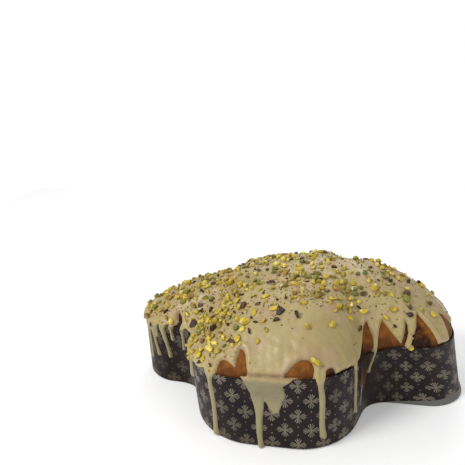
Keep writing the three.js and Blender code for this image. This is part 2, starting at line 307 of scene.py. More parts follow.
# %% Unevenness, meshes and colours
def ripple(points, size, seed, waves=12):
    """Smooth noise between about -1 and 1: the mean of sine waves about as long as size."""
    random = np.random.default_rng(seed)
    heading = unit(random.normal(size=(waves, 3)))
    speed = 2 * np.pi / size * random.uniform(0.6, 1.6, (waves, 1))
    phase = random.uniform(0, 2 * np.pi, waves)
    return 2 * np.sin(points @ (heading * speed).T + phase).mean(-1)


def linear(red, green, blue):
    """A screen colour from 0 to 255 as the linear colour that shaders use."""
    value = np.array([red, green, blue]) / 255
    return np.where(value <= 0.04045, value / 12.92, ((value + 0.055) / 1.055) ** 2.4)


def rgba(*screen):
    """A screen colour as four linear numbers, opaque."""
    return (*linear(*screen), 1.0)


def add_surface(name, points, faces, smooth=True):
    """A mesh object at the origin from points in millimetres and faces of equal length."""
    mesh = bpy.data.meshes.new(name)
    mesh.vertices.add(len(points))
    mesh.vertices.foreach_set("co", (points * MM).astype(np.float32).ravel())
    mesh.loops.add(faces.size)
    mesh.loops.foreach_set("vertex_index", faces.astype(np.int32).ravel())
    mesh.polygons.add(len(faces))
    mesh.polygons.foreach_set("loop_start", np.arange(0, faces.size, faces.shape[1], dtype=np.int32))
    mesh.polygons.foreach_set("use_smooth", np.full(len(faces), smooth))
    mesh.update(calc_edges=True)
    mesh.validate()
    piece = bpy.data.objects.new(name, mesh)
    bpy.context.scene.collection.objects.link(piece)
    print(name, "has", len(points), "vertices and", len(faces), "faces")
    return piece


def add_attribute(piece, name, values):
    """A number or a colour for each vertex, for a material to read."""
    kind = "FLOAT" if values.ndim == 1 else "FLOAT_COLOR"
    field = "value" if values.ndim == 1 else "color"
    attribute = piece.data.attributes.new(name, kind, "POINT")
    attribute.data.foreach_set(field, values.astype(np.float32).ravel())


# %% [markdown]
# Near the middle of the crown the columns come close together, so their number is halved ring by ring.
# Two neighbouring rings are either equally long, or one has twice the points of the other, and a rule
# for each case gives the triangles between them as whole arrays.

# %% Triangles between rings
def between_rings(first, n, second, m):
    """Triangles between a ring of n points and the next ring outward of m, which is n, 2n or a fan."""
    if n == 1:
        i = np.arange(m)
        return np.stack([np.full(m, first), second + i, second + (i + 1) % m], -1)
    i = np.arange(n)
    a, b = first + i, first + (i + 1) % n
    if m == n:
        c, d = second + i, second + (i + 1) % n
        return np.concatenate([np.stack([a, c, b], -1), np.stack([b, c, d], -1)])
    c, d, e = second + 2 * i, second + 2 * i + 1, second + (2 * i + 2) % m
    return np.concatenate([np.stack(corners, -1) for corners in ([a, c, d], [a, d, b], [b, d, e])])


def ring_mesh(rings):
    """Points and triangles of a list of rings, from the middle outward."""
    sizes = [len(ring) for ring in rings]
    starts = np.cumsum([0] + sizes)
    faces = [between_rings(starts[k], sizes[k], starts[k + 1], sizes[k + 1]) for k in range(len(rings) - 1)]
    return np.concatenate(rings), np.concatenate(faces)


def with_end(points, faces, end, count):
    """Closes the last ring, of count points, with a fan of triangles to one more point."""
    last = len(points) - count + np.arange(count)
    fan = np.stack([last, np.full(count, len(points)), np.roll(last, -1)], -1)
    return np.concatenate([points, [end]]), np.concatenate([faces, fan])


def without_loose(points, faces, *values):
    """Drops the points that no face uses, and the same entries of any values kept for them."""
    used = np.unique(faces)
    place = np.zeros(len(points), int)
    place[used] = np.arange(len(used))
    return points[used], place[faces], *[value[used] for value in values]


# %% [markdown]
# Where the glaze ends is drawn as a distance, in millimetres, along the skin: positive inside the glaze.
# Bare crust shows in pointed leaves that stand on the rim, some of them leaning. Each leaf is an outline
# of two bent sides, and the distance to an outline is the smallest one to any of its straight pieces,
# which keeps the narrow tongues of glaze between two leaves as wide as they are.

# %% Lower edge of the glaze on the crown
# left foot, tip and right foot in degrees, height in mm, and how the left and the right side bend
LEAVES = [
    (-163.3, -165.6, -161.8, 12.5, 1, 1), (-125.3, -122.6, -112.3, 10.6, 0.35, 0.6),
    (-117, -118.7, -112.2, 18.5, 1, 0.42), (-100.6, -92.3, -86.2, 15.5, 0.6, 0.2),
    (-83.8, -80.2, -76.4, 8, 0.3, 0.5), (-75.6, -73.4, -71.4, 3.6, 0.5, 0.5),
    (-64.6, -45, -43.9, 20.5, 0.7, 0.9), (-44.8, -35.5, -32.4, 20.8, 0.9, 1.3),
    (-33.2, -28.1, -32, 21.5, 1, 1.2), (-31.2, -21.3, -22.4, 25, 0.65, 0.3),
    (-17.2, -11.5, -3, 18.5, 0.9, 0.5), (7, 12.5, 17, 12, 0.7, 0.5),
    (23, 31, 37, 17, 0.8, 1.1), (46, 53, 62, 21, 0.5, 1),
    (76, 84, 90, 12, 0.7, 0.4), (102, 107, 114, 16, 0.6, 0.8),
    (126, 134, 140, 11, 0.5, 0.6), (154, 158.5, 162, 9, 0.8, 0.8),
]
GLAZE_END = 1.0


def climb_at(height, column):
    """Length of skin between the rim and each height, read in its column."""
    return np.array([np.interp(-h, -heights, climb[:, c]) for h, c in zip(height, column)])


def placed(degrees, height):
    """Places on the skin, as millimetres along the rim and climbed above it."""
    along = along_at(degrees)
    column = np.round(along / FINE.length * FINE.count).astype(int) % FINE.count
    return np.stack([along, climb_at(height, column)], -1)


def outline_distance(corners):
    """Distance to a closed outline from every point of the skin grid, positive inside it."""
    nearest = np.full(climb.shape, 1e9)
    inside = np.zeros(climb.shape, bool)
    for (x0, y0), (x1, y1) in zip(corners, np.roll(corners, -1, axis=0)):
        x, y = FINE.along - x0, climb - y0
        dx, dy = x1 - x0, y1 - y0
        share = np.clip((x * dx + y * dy) / (dx * dx + dy * dy), 0, 1)
        nearest = np.minimum(nearest, np.hypot(x - share * dx, y - share * dy))
        if y0 != y1:
            crossed = (y >= 0) != (climb >= y1)
            inside ^= crossed & (x < y / dy * dx)
    return np.where(inside, nearest, -nearest)


def leaf_outline(leaf):
    """Corners of a bare leaf: up its left side, over the tip and down its right side to below the rim."""
    left, tip, right, top, left_bend, right_bend = leaf
    t = np.linspace(0, 0.97, 9)
    up = tip + (left - tip) * (1 - t) ** left_bend
    down = tip + (right - tip) * (1 - t) ** right_bend
    degrees = np.concatenate([[left], up, [tip], down[::-1], [right]])
    return placed(degrees, np.concatenate([[-6], top * t, [top], top * t[::-1], [-6]]))


wave = rim_wave(FINE)
edge_line = wave + GLAZE_END + 0.4 * np.sin(FINE.along / 3.1) * np.sin(FINE.along / 7.3)
crown_glaze = climb - climb_at(edge_line, range(FINE.count))
for leaf in LEAVES:
    crown_glaze = np.minimum(crown_glaze, -outline_distance(leaf_outline(leaf)))
print(len(LEAVES), "bare leaves, glaze edge about", GLAZE_END, "mm above the paper")

# %% [markdown]
# Glaze that ran over hangs in ropes with a round end. Each run has a path down the paper, a half width
# that swells at its drop, and a flare where it leaves the rim. One place is different: below the front
# of the near wing the glaze was smeared over the paper as a thin film with a torn edge, which has an
# outline of its own. The crown's distance and those of all the runs are joined by the logarithm of a sum
# of exponentials, which rounds every corner between them as surface tension does. The same weights mix
# the thickness. At the cut edge of the paper over the smear the corners are kept sharp.

# %% Runs of glaze over the paper
# start and end in degrees, half width, length below the rim, start above it, flare's width and height
RUNS = [
    (-176, -176, 7, 10, 5, 1, 4), (-169, -169, 7.5, 9, 5, 1, 4),
    (-170.2, -170, 1.8, 43, 6, 2, 18), (-168.9, -166.7, 1.8, 36, 6, 2, 18),
    (-167.2, -166.9, 1.5, 15, 5, 1, 8), (-165.7, -164.5, 2, 36, 5, 2, 22),
    (-164.2, -163.7, 2.1, 16, 5, 1, 8), (-161.1, -161, 1.9, 24, 8, 1, 8),
    (-141.5, -141.5, 4, 24, 6, 5, 12), (-147, -147, 9, 7, 6, 1, 4),
    (-133, -133, 8, 1.5, 6, 1, 3), (-126.8, -126, 2.7, 64, 6, 3.5, 9),
    (-109, -108.2, 2.6, 66, -8, 3.5, 60), (-84.9, -83, 2.8, 54.5, 8, 2, 8),
    (-66.4, -64.7, 1.6, 47, 4, 1.5, 5), (-42, -51, 1.2, 21, 12, 1, 2),
    (-29.3, -31.6, 1.7, 1, 8, 0.3, 3),
    (3, 3, 3, 34, 6, 3, 12), (20, 20.6, 2.4, 21, 6, 2, 9),
    (42, 42, 3.2, 46, 6, 3, 12), (68, 67.4, 2.8, 31, 6, 3, 12),
    (96, 96, 3.4, 55, 6, 4, 14),
    (121, 121.8, 2.7, 26, 6, 2, 9), (147, 147, 3, 38, 6, 3, 12),
    (174, 174, 2.4, 29, 6, 2, 9),
]
# corners of the smear, as direction in degrees and height over the rim
SMEAR = [
    (-114.8, 0.8), (-113.7, -2), (-112.6, -6), (-111.6, -11), (-110.6, -19), (-109.5, -28),
    (-107.5, -26), (-106.9, -14.5), (-105.7, -19.5), (-104.7, -25.5), (-103.3, -29.5), (-101, -29),
    (-100.2, -22.5), (-99.4, -17.5), (-98.3, -12.5), (-98.7, -7.5), (-99.3, -3.5), (-96, -1.8),
    (-93.8, 0.8),
]
GLAZE, SMEAR_THICK = 2.3, 1.0
CROWN_ROUNDING, SMEAR_ROUNDING = 3.4, 1.6
SHARPNESS, SHARP_EDGE = 1.1, 6.0


def run_fields(run):
    """Distance inside a run, its thickness, and the width over which its side rounds off.

    The distance is the run's half width less the distance to its path, which is straight but wanders a
    little and ends half a width above its lowest point.
    """
    begin, end, half, length, start, flare, flare_height = run
    height = heights[:, None]
    degrees = begin + (end - begin) * np.clip((start - height) / (start + length), 0, 1)
    wander = 0.25 * half * np.sin(height / 9 + begin) * np.clip(-height / 12, 0, 1)
    sideways = np.abs(FINE.along - along_at(degrees) - wander)
    drop = bell(height, half - length, 1.6 * half)
    spread = flare * (1 - np.clip((wave - height) / flare_height, 0, 1)) ** 1.6
    width = half * (0.92 + 0.14 * drop + 0.05 * np.sin(height / 5 + end)) + spread
    past_end = np.maximum(-height - length + half, 0) + np.maximum(climb - start, 0)
    distance = width - np.hypot(sideways, past_end)
    thick = min(2.1, 0.5 + 0.75 * half) * (0.85 + 0.35 * drop)
    return distance, thick, np.full_like(distance, min(half, 3.2))


def smear_fields():
    """The film: its torn outline, a little uneven, hanging from the paper's cut edge."""
    degrees, height = np.array(SMEAR).T
    lifted = height + np.interp(np.radians(degrees), FINE.angle, wave) * (height > -3)
    distance = outline_distance(placed(degrees, lifted)) + 0.3 * ripple(skin_points, 5, 8)
    uneven = 1 + 0.35 * ripple(skin_points, 7, 9)
    return distance, SMEAR_THICK * uneven, np.full_like(distance, SMEAR_ROUNDING)


def crown_fields():
    """The coat on the crown, with a soft bead 3 mm inside its edge."""
    bead = 0.7 * bell(crown_glaze, 3.2, 2.4)
    return crown_glaze, GLAZE + bead, np.full_like(climb, CROWN_ROUNDING)


def joined_fields(fields, sharp):
    """One distance, thickness and rounding from many, each weighed by the exponential of its distance."""
    weights = [np.exp(np.clip(sharp * distance, -40, 60)) for distance, _, _ in fields]
    total = sum(weights)
    thick = sum(weight * field[1] for weight, field in zip(weights, fields)) / total
    wide = sum(weight * field[2] for weight, field in zip(weights, fields)) / total
    return np.log(total) / sharp, thick, wide


over_smear = plateau(np.degrees(FINE.angle), -116, -114, -95, -92)
cut_edge = bell(heights[:, None] - wave, 0.5, 1.5)
fields = [crown_fields(), smear_fields()] + [run_fields(run) for run in RUNS]
joined, thickness, rounding = joined_fields(fields, SHARPNESS + SHARP_EDGE * over_smear * cut_edge)
glaze_distance = np.where(crown_glaze > 8, crown_glaze, joined)
print(len(RUNS), "runs, and glaze up to", round(float(glaze_distance.max()), 1), "mm from its edge")

# %% [markdown]
# The glaze could be a boolean of tubes and a shell, but the joints would show. Instead the skin is
# pushed out by a thickness that rises steeply from its edge and levels off, and pushed in where there is
# no glaze, so the edge is where the surface dives under the crust or the paper. Faces that are hidden
# all over are dropped.

# %% Glaze surface
# how full the edge is, how steeply the skin dives outside it, how deep, and how much of the dive is kept
BEAD, DIVE, SUNK, KEPT_OUTSIDE = 2.6, 2.6, -1.4, -0.7
# columns, where their rows start and end between the middle and the skin's top row, and how many rows
INNER_ROWS = [
    (40, 0.05, 0.12, 3), (80, 0.12, 0.22, 5), (160, 0.22, 0.4, 9), (320, 0.4, 0.68, 14),
    (640, 0.68, 1.0, 22),
]
PART_STEP = 0.004


def swelling(points):
    """Slow unevenness of the poured glaze, and streaks down the steep sides where it flowed, in mm."""
    streaks = 0.4 * ripple(points * [1, 1, 0.16], 8, 5)
    return 0.35 * ripple(points, 38, 3) + 0.16 * ripple(points, 13, 4) + streaks


def lift_of(distance, thick, wide):
    """Height over the skin: one less a power of the share left to go inside the edge, a dive outside it."""
    t = np.clip(distance / wide, 0, 1)
    return np.where(distance > 0, thick * (1 - (1 - t) ** BEAD), np.maximum(DIVE * distance, SUNK))


def glaze_lift():
    """Lift of the glaze on the whole grid, with its swellings above the rim."""
    above = smooth_step(heights[:, None] - wave, -4, 6)
    uneven = swelling(skin_points) * above * smooth_step(glaze_distance, 0, 5)
    return lift_of(glaze_distance, thickness, rounding) + uneven


def crown_rings():
    """Rings of the glaze inside the skin grid, with fewer columns towards the middle."""
    rings = [CROWN_TOP + [0, 0, GLAZE]]
    for count, share_in, share_out, number in INNER_ROWS:
        cols = thinned(count)
        part = np.linspace(share_in, share_out, number + 1)[:-1, None] * top_part[:: FINE.count // count]
        base = crust(cols, part)
        outward = crust(cols, part + PART_STEP) - crust(cols, part - PART_STEP)
        around = np.roll(base, -1, axis=1) - np.roll(base, 1, axis=1)
        rings += list(base + unit(np.cross(outward, around)) * (GLAZE + swelling(base))[..., None])
    return rings


top_part = part_at_height(FINE, SKIN_TOP)
inner_rings = crown_rings()
skin_rings = list(skin_points + skin_normals * glaze_lift()[..., None])
points, faces = ring_mesh(inner_rings + skin_rings)
far_inside = np.full(sum(len(ring) for ring in inner_rings), 99.0)
inside = np.concatenate([far_inside, glaze_distance.ravel()])
faces = faces[(inside[faces] > KEPT_OUTSIDE).any(axis=1)]
glaze_points, glaze_faces, glaze_inside = without_loose(points, faces, inside)
glaze = add_surface("glaze_coat", glaze_points, glaze_faces)

# %% [markdown]
# The glaze isn't one colour. It is darker and greener where it hangs over the paper, the smear is so thin
# that the paper shows through it, and just above the smear a brown band is partly the brown of thin glaze
# and partly painted shadow under the glaze's lower edge. The mesh keeps a number for each of these at every
# point, and the material reads them.

# %% Where the glaze hangs and thins, and its brown band with painted shadow
above_rim = glaze_points[:, 2] - RIM
at_smear = np.interp(direction(glaze_points), FINE.angle, over_smear)
film = smooth_step(-above_rim, -3, 1) * (1 - 0.85 * smooth_step(-above_rim, 9, 24))
add_attribute(glaze, "hanging", 1 - smooth_step(above_rim, -4, 3))
# painted shadow: a brown band just above the smear, under the glaze's lower edge, partly the brown of thin
# glaze
add_attribute(glaze, "brown_band_and_shadow", at_smear * bell(above_rim, 5.5, 2.2))
add_attribute(glaze, "thin", at_smear * film)
print(int((at_smear * film > 0.5).sum()), "points of the glaze are thin")

# %% [markdown]
# The crust only shows in the bare patches, but there it carries the loaf's whole character. Its rows lie
# closer together towards the rim, where it shows. Wrinkles are ripples of three sizes, the middle one
# drawn out upward, and at the tail dark lumps of melted chocolate stand on it.

# %% Relief of the crust
CRUST_COLUMNS = 640
# where the lumps stand and where the crust is dark about them: left, right and top
LUMPY, LUMPY_DARK = (-29.7, -25.0, 16.0), (-31.6, -24.0, 20.0)

crust_cols = thinned(CRUST_COLUMNS)
crust_degrees = np.degrees(crust_cols.angle)
last_rows = 1 - 0.096 * np.linspace(1, 0, 26) ** 1.6
crust_parts = np.concatenate([np.linspace(0.3, 0.62, 9), np.linspace(0.64, 0.9, 26), last_rows])
base = crust(crust_cols, crust_parts[:, None])
crust_height = base[..., 2] - RIM


def lumps(region):
    """How much of a lumpy region a place is in: 1 between its sides and below its top, 0 outside."""
    left, right, top = region
    across = plateau(crust_degrees, left - 0.6, left + 0.8, right - 2, right + 0.6)
    return across * (1 - smooth_step(crust_height, top - 5, top + 4))


knobs = ripple(base, 4.4, 15)
wrinkles = 0.32 * ripple(base, 11, 11) + 0.2 * ripple(base * [1, 1, 0.45], 4.2, 12)
wrinkles += 0.09 * ripple(base, 1.9, 13)
fade = smooth_step(crust_parts, 0.3, 0.4) * smooth_step(1 - crust_parts, 0, 0.02)
relief = (wrinkles + np.maximum(knobs, -0.2) * 2.4 * lumps(LUMPY)) * fade[:, None]
print("relief of the crust from", round(relief.min(), 1), "to", round(relief.max(), 1), "mm")

# %% [markdown]
# The piece is closed. A few plain rings a little under the crown cover the middle, which the glaze
# hides, and from the rim the rings go down inside the paper to the floor of the mould.

# %% Crust surface
HIDDEN_RINGS = [(40, 0.06), (80, 0.12), (160, 0.18), (320, 0.24)]
HIDDEN_DOWN = [0, 0, 0.3]
WALL_LEVELS = np.array([[0.93], [0.5], [0.08]])
WALL_INSET, FLOOR_INSET = 1.2, 8.0

hidden = [CROWN_TOP - HIDDEN_DOWN]
for count, part in HIDDEN_RINGS:
    hidden.append(crust(thinned(count), np.full((1, 1), part))[0] - HIDDEN_DOWN)
shown = base + grid_normals(base) * relief[..., None]
wall_reach = crust_cols.foot + (crust_cols.rim - crust_cols.foot) * WALL_LEVELS - PAPER - GAP - WALL_INSET
wall = polar(crust_cols.angle, wall_reach, RIM * WALL_LEVELS)
lowest = polar(crust_cols.angle, crust_cols.foot - FLOOR_INSET, PAPER + GAP)
points, faces = ring_mesh(hidden + list(shown) + list(wall) + [lowest])
points, faces = with_end(points, faces, [*MIDDLE, PAPER + GAP], CRUST_COLUMNS)
loaf = add_surface("loaf_crust", points, faces)

# %% [markdown]
# Crust is darker towards the rim, on the near side of the head and about the lumps. In the notch the crust
# near the rim is darkened as painted shade, where it lies in a hollow under the glaze's edge. The sum of
# these is kept for the rows that show, and the hidden rings get an even brown.

# %% How dark the crust is
EVEN_BROWN = 0.5

edge_dark = 1 - smooth_step(crust_height, 0, 9)
# painted shade: the notch's crust near the rim, in a hollow under the glaze's overhanging edge
notch_shade = plateau(crust_degrees, -90, -83, -66, -50)
head_dark = plateau(crust_degrees, -168, -165, -160, -156)
lump_dark = lumps(LUMPY_DARK) * (0.75 + 0.5 * knobs)
tone = 0.3 + 0.45 * edge_dark + 0.2 * ripple(base, 9, 21) + 1.0 * notch_shade * edge_dark
tone += 0.95 * lump_dark + 0.8 * head_dark
bake_and_shade = np.full(len(points), EVEN_BROWN)
before = sum(len(ring) for ring in hidden)
bake_and_shade[before:before + tone.size] = np.clip(tone, 0, 1.2).ravel()
add_attribute(loaf, "bake_and_shade", bake_and_shade)
print("darkness of the crust from", round(bake_and_shade.min(), 2), "to", round(bake_and_shade.max(), 2))

# %% [markdown]
# In the notch between the near wing and the tail a strip of dough ran over the rim and baked onto the
# paper. It is made as the runs of glaze are, from the same skin, only with grooves down its length.

# %% Strip of baked dough
# as the runs of glaze: degrees, half width, length, start and flare
STRIP = (-60.4, -58.6, 6.6, 26.0, 7.0, 2, 8)
SYRUP = (-57.4, -58.6, 0.8, 48.0, -22.0, 0, 5)


def strip_surface(name, run, thick_scale, grooves):
    """A run on the skin as a piece of its own, and its points: grooves are a sine along the rim."""
    distance, thick, wide = run_fields(run)
    waver = FINE.along * 2.1 + 0.8 * np.sin(heights[:, None] / 6) + 1.3 * np.sin(FINE.along * 0.7)
    lift = lift_of(distance, thick * thick_scale, wide) + grooves * np.sin(waver) * (distance > 0.6)
    points, faces = ring_mesh(skin_points + skin_normals * lift[..., None])
    faces = faces[(distance.ravel()[faces] > KEPT_OUTSIDE).any(axis=1)]
    points, faces = without_loose(points, faces)
    return add_surface(name, points, faces), points


strip, strip_points = strip_surface("dough_strip", STRIP, 0.8, 0.4)
streak = 0.3 * ripple(strip_points * [1, 1, 0.12], 2.2, 27)
strip_dark = 0.95 + streak + 0.35 * smooth_step(strip_points[:, 2] - RIM, -20, -4)
add_attribute(strip, "bake_and_shade", np.clip(strip_dark, 0, 1.3))
syrup, _ = strip_surface("syrup_line", SYRUP, 0.6, 0.0)

# %% [markdown]
# Baking paper is thin, but this mould's wall is a sheet with two faces, rounded over at the rim and at
# the foot. It could be one grid with a solidify modifier, but its rows are as easily given as a profile
# that goes all round. Creases gather in the notches, and the foot of the tail is pushed out.

# %% Paper mould surface
PAPER_COLUMNS = 640
BASE_RINGS = [(40, 0.3), (80, 0.45), (160, 0.6), (320, 0.8)]
# creases in the notches: direction in degrees, depth and half width in mm
CREASES = [
    (-157, 0.45, 2.6), (-66, 0.35, 1.8), (-57, 0.5, 2.2), (-50, 0.4, 2.4), (50, 0.5, 2.6),
    (155, 0.45, 2.6),
]
# the pale band along the foot of the tail: where it is tallest, how far it spreads, its height and swell
PALE_AT, PALE_WIDE, PALE_TALL, PALE_OUT = -16.0, 15.0, 7.0, 3.0


def paper_profile():
    """Rows of inset and height: under the base, round the foot, up outside, over the rim, down inside."""
    foot_turn = np.linspace(0, np.pi / 2, 5)
    foot = [(FOOT_ROUND * (1 - np.sin(t)), FOOT_ROUND * (1 - np.cos(t))) for t in foot_turn]
    half, rim_turn = PAPER / 2, np.linspace(0.5, np.pi - 0.5, 4)
    outer = [(0.0, z) for z in np.linspace(FOOT_ROUND, RIM - half, 34)[1:]]
    rim = [(half - half * np.cos(t), RIM - half + half * np.sin(t)) for t in rim_turn]
    inner = [(PAPER, RIM - half), (PAPER, RIM - 12), (PAPER, PAPER + 3), (PAPER + 3, PAPER)]
    return np.array(foot + outer + rim + inner)


def pale_height(angle):
    """Height of the pale band round the foot in mm, a bell curve by angle."""
    return PALE_TALL * bell(np.degrees(angle), PALE_AT, PALE_WIDE)


paper_cols = thinned(PAPER_COLUMNS)
inset, z = np.split(paper_profile(), 2, axis=1)
level = np.clip(z / RIM, 0, 1)
creases = sum(depth * bell(paper_cols.along, along_at(at, paper_cols), wide) for at, depth, wide in CREASES)
cockle = 0.12 * np.sin(paper_cols.along / 5.3) * np.sin(paper_cols.along / 17.1) * level**2
shrink = np.where(z > FOOT_ROUND, creases * level * (1 - level**6) - cockle, 0)
swell = PALE_OUT * np.maximum(1 - z / PALE_TALL, 0) * pale_height(paper_cols.angle) / PALE_TALL
reach = paper_cols.foot + (paper_cols.rim - paper_cols.foot) * level - inset - shrink + swell
sheet = polar(paper_cols.angle, reach, z + rim_wave(paper_cols) * level**6)
rings = [np.array([[*MIDDLE, 0.0]])]
for count, share in BASE_RINGS:
    cols = thinned(count)
    rings.append(polar(cols.angle, (cols.foot - FOOT_ROUND) * share, 0.0))
points, faces = ring_mesh(rings + list(sheet))
points, faces = with_end(points, faces[:, ::-1], [*MIDDLE, PAPER], PAPER_COLUMNS)
paper = add_surface("paper_sheet", points, faces)

# %% [markdown]
# Butter and syrup have stained the paper below a bare leaf. Beside the notch, on the tail next to it and on
# the head's wall the paper is darkened as painted shade. Each of these is a bell curve along the rim times
# another up the wall. For the pale band each point keeps how far below the band's upper edge it lies.

# %% Stains, painted shade and the pale band
# direction and height above the rim, how far it reaches along the rim and up, and how strong it is
# the first is a stain below a bare leaf; the other three are painted shade in the notch, on the tail beside
# it and on the head's wall
STAINS_AND_SHADE = [
    (-80.5, -3, 8, 6, 0.7), (-49, -24, 13, 45, 0.95), (-38, -50, 26, 24, 0.55),
    (-166, -40, 50, 45, 0.75),
]


def stain_and_shade_at(points):
    """How dark the paper is at each point from stains and painted shade: the sum of their bell curves."""
    along = np.interp(direction(points), FINE.angle, FINE.along)
    height = points[:, 2] - RIM
    return sum(
        strength * bell(along, along_at(at), wide) * bell(height, up, tall)
        for at, up, wide, tall, strength in STAINS_AND_SHADE
    )


stain_and_shade = stain_and_shade_at(points)
add_attribute(paper, "stain_and_shade", stain_and_shade)
add_attribute(paper, "below_band", pale_height(direction(points)) - points[:, 2])
print("the strongest stain is", round(float(stain_and_shade.max()), 2))

# %% [markdown]
# The print is laid out on a UV map that counts in flowers: one unit along the rim and one unit up the
# wall is the distance from a flower to the next. The flowers on the tail are a little smaller. The
# tail's wall leans back and the print leans with it, so the map is sheared there. A whole number of
# flowers goes round, so that the print has no seam.

# %% Map of the print
# distance to the next flower along the rim and up the wall, and one flower as degrees and height
FLOWER_STEP, FLOWER_RISE, FLOWER_AT = 21.0, 28.7, (-93.5, 34.0)
TAIL_STEP, TAIL_RISE, TAIL_AT = 18.8, 24.0, (-22.3, 32.1)
BETWEEN_STEP = 20.0
TAIL_LEAN = (-21.8, -7.5)
ANGLE_STEP = 0.004


def past_start(degrees):
    """Way along the rim from the print's first flower, in mm."""
    return (along_at(degrees) - along_at(FLOWER_AT[0])) % FINE.length


near_notch, tail_begin, tail_end = past_start(-54), past_start(-41), past_start(41)
tail_flower = past_start(TAIL_AT[0])
before_tail = (tail_flower - tail_begin) / TAIL_STEP
after_tail = (tail_end - tail_flower) / TAIL_STEP
to_notch = near_notch / FLOWER_STEP
tail_count = round(to_notch + (tail_begin - near_notch) / BETWEEN_STEP + before_tail)
turns = round(tail_count + after_tail + (FINE.length - tail_end) / FLOWER_STEP)
PRINT_KNOTS = [
    (0, 0), (near_notch, to_notch), (tail_begin, tail_count - before_tail),
    (tail_end, tail_count + after_tail), (FINE.length, turns),
]


def rim_point(angle):
    """Points of the rim's outline in the given directions."""
    return polar(angle, np.interp(angle, FINE.angle, FINE.rim), 0.0)[:, :2]


def print_map(points):
    """Flowers along the rim and up the wall, sheared where the tail's wall leans, for each point."""
    angle, height = direction(points), points[:, 2]
    past = (np.interp(angle, FINE.angle, FINE.along) - along_at(FLOWER_AT[0])) % FINE.length
    tangent = unit(rim_point(angle + ANGLE_STEP) - rim_point(angle - ANGLE_STEP))
    in_tail = smooth_step(points[:, 0], 55, 90)
    lean = (tangent @ np.array(TAIL_LEAN)) * np.clip(height / RIM, 0, 1) * in_tail
    u = np.interp(past, *np.transpose(PRINT_KNOTS)) - lean / TAIL_STEP
    on_wing, on_tail = (height - FLOWER_AT[1]) / FLOWER_RISE, (height - TAIL_AT[1]) / TAIL_RISE
    return np.stack([u, on_wing + (on_tail - on_wing) * in_tail], -1)


uv = print_map(points)[faces]
uv[..., 0] -= turns * np.round((uv[..., 0] - uv[:, :1, 0]) / turns)
paper.data.uv_layers.new(name="print").data.foreach_set("uv", uv.astype(np.float32).ravel())
print("the paper's print is", turns, "flowers long")

# %% [markdown]
# Chopped pistachios and broken chocolate are scattered by hand, thickest on the crown and towards the
# head, with few on the front of the near wing. A particle system could scatter them, but a seeded choice
# among the glaze's own faces gives the same places on every run. A face is likelier the larger it is and
# the nearer to a handful, and a place too close to one already taken is passed over.

# %% Places for the toppings
# where handfuls landed: x and y in mm, spread and weight
HEAPS = [
    (16, -18, 15, 2.2), (46, -36, 13, 2.8), (84, -18, 17, 1.6), (-92, -10, 24, 3.0), (-52, -52, 14, 3.6),
    (-42, -84, 16, 3.2), (-10, -66, 12, 0.7), (110, 8, 16, 0.8), (14, 20, 18, 1.5), (60, 42, 20, 2.0),
    (-60, 26, 20, 1.6), (-24, 32, 13, 2.0), (-40, -18, 11, 1.8), (-27, -25, 9, 1.3), (-20, 78, 20, 1.4),
    (32, 84, 16, 0.9), (112, -30, 10, 0.6),
]
CRUMB_HEAPS = HEAPS + [(20, -58, 20, 3.0), (-10, -40, 22, 1.6)]
SPARSE, FRONT_BARE = 0.2, 0.93
# pieces that catch the eye, at x, y and z in mm, with their size
NUT_MARKS = [
    (28, -81, 99, 8), (49, -73, 98, 7), (-11, -92, 89, 6), (36, -100, 80, 9.5), (-23, -75, 97, 10),
    (0, -66, 106, 7.5), (75, -41, 94, 8), (83, -26, 110, 9.5), (93, -40, 89, 6.5), (-40, -84, 85, 7),
    (135, -27, 86, 7), (-65, -86, 66, 7.5), (-55, -94, 70, 7), (115, -47, 64, 6), (53, -28, 115, 8),
    (65, -24, 112, 8),
]
CHOCOLATE_MARKS = [
    (-26, -58, 101, 11.5), (5, -69, 105, 10.5), (19, -71, 105, 10.5), (-77, -43, 70, 13), (-72, -32, 81, 9),
    (-61, -36, 84, 10.5), (-31, -89, 86, 8), (-6, -28, 111, 9), (112, -38, 91, 8), (-16, -58, 105, 8),
    (-49, -72, 85, 9), (72, -56, 85, 8), (113, -21, 103, 9), (3, -76, 101, 8),
]

face_corners = glaze_points[glaze_faces]
face_middle = face_corners.mean(axis=1)
face_cross = np.cross(face_corners[:, 1] - face_corners[:, 0], face_corners[:, 2] - face_corners[:, 0])
face_up = unit(face_cross)
face_area = np.linalg.norm(face_cross, axis=1) / 2
face_inside = glaze_inside[glaze_faces].min(axis=1)


def sprinkling(margin, bunch, seed, handfuls):
    """How likely a bit lies on each face: its area, times the handfuls' mounds, times loose bunches."""
    x, y, z = face_middle.T
    front = smooth_step(-y, 48, 80) * plateau(x, -30, 0, 60, 80)
    heaps = sum(weight * mound(x, y, *place) for *place, weight in handfuls)
    bunches = 1 + bunch * ripple(face_middle, 24, seed) + bunch * ripple(face_middle, 10, seed + 1)
    over_notch = (x < -70) & (y < 0) & (z > RIM - 16)
    lies = (face_inside > margin) & ((z > RIM + 1.5) | over_notch)
    return face_area * lies * (SPARSE + heaps) * (1 - FRONT_BARE * front) * np.clip(bunches, 0.1, 3)


def marked_faces(marks):
    """The faces of the glaze nearest to the given places."""
    places = np.array(marks, float)[:, None, :3]
    return np.array([((face_middle - place) ** 2).sum(-1).argmin() for place in places])


def drop_places(count, apart, margin, bunch, seed, taken=(), handfuls=HEAPS):
    """Picks faces by their likelihood and keeps those far enough from the ones before."""
    random = np.random.default_rng(seed)
    chance = sprinkling(margin, bunch, seed, handfuls)
    picks = random.choice(len(chance), size=count * 5, p=chance / chance.sum())
    kept, new = list(taken), []
    for pick in picks:
        place = face_middle[pick]
        if not kept or np.min(np.sum((np.array(kept) - place) ** 2, axis=1)) > apart**2:
            kept.append(place)
            new.append(pick)
        if len(new) == count:
            break
    return np.array(new), kept


print("glaze to scatter on:", round(face_area.sum() / 100), "square centimetres")

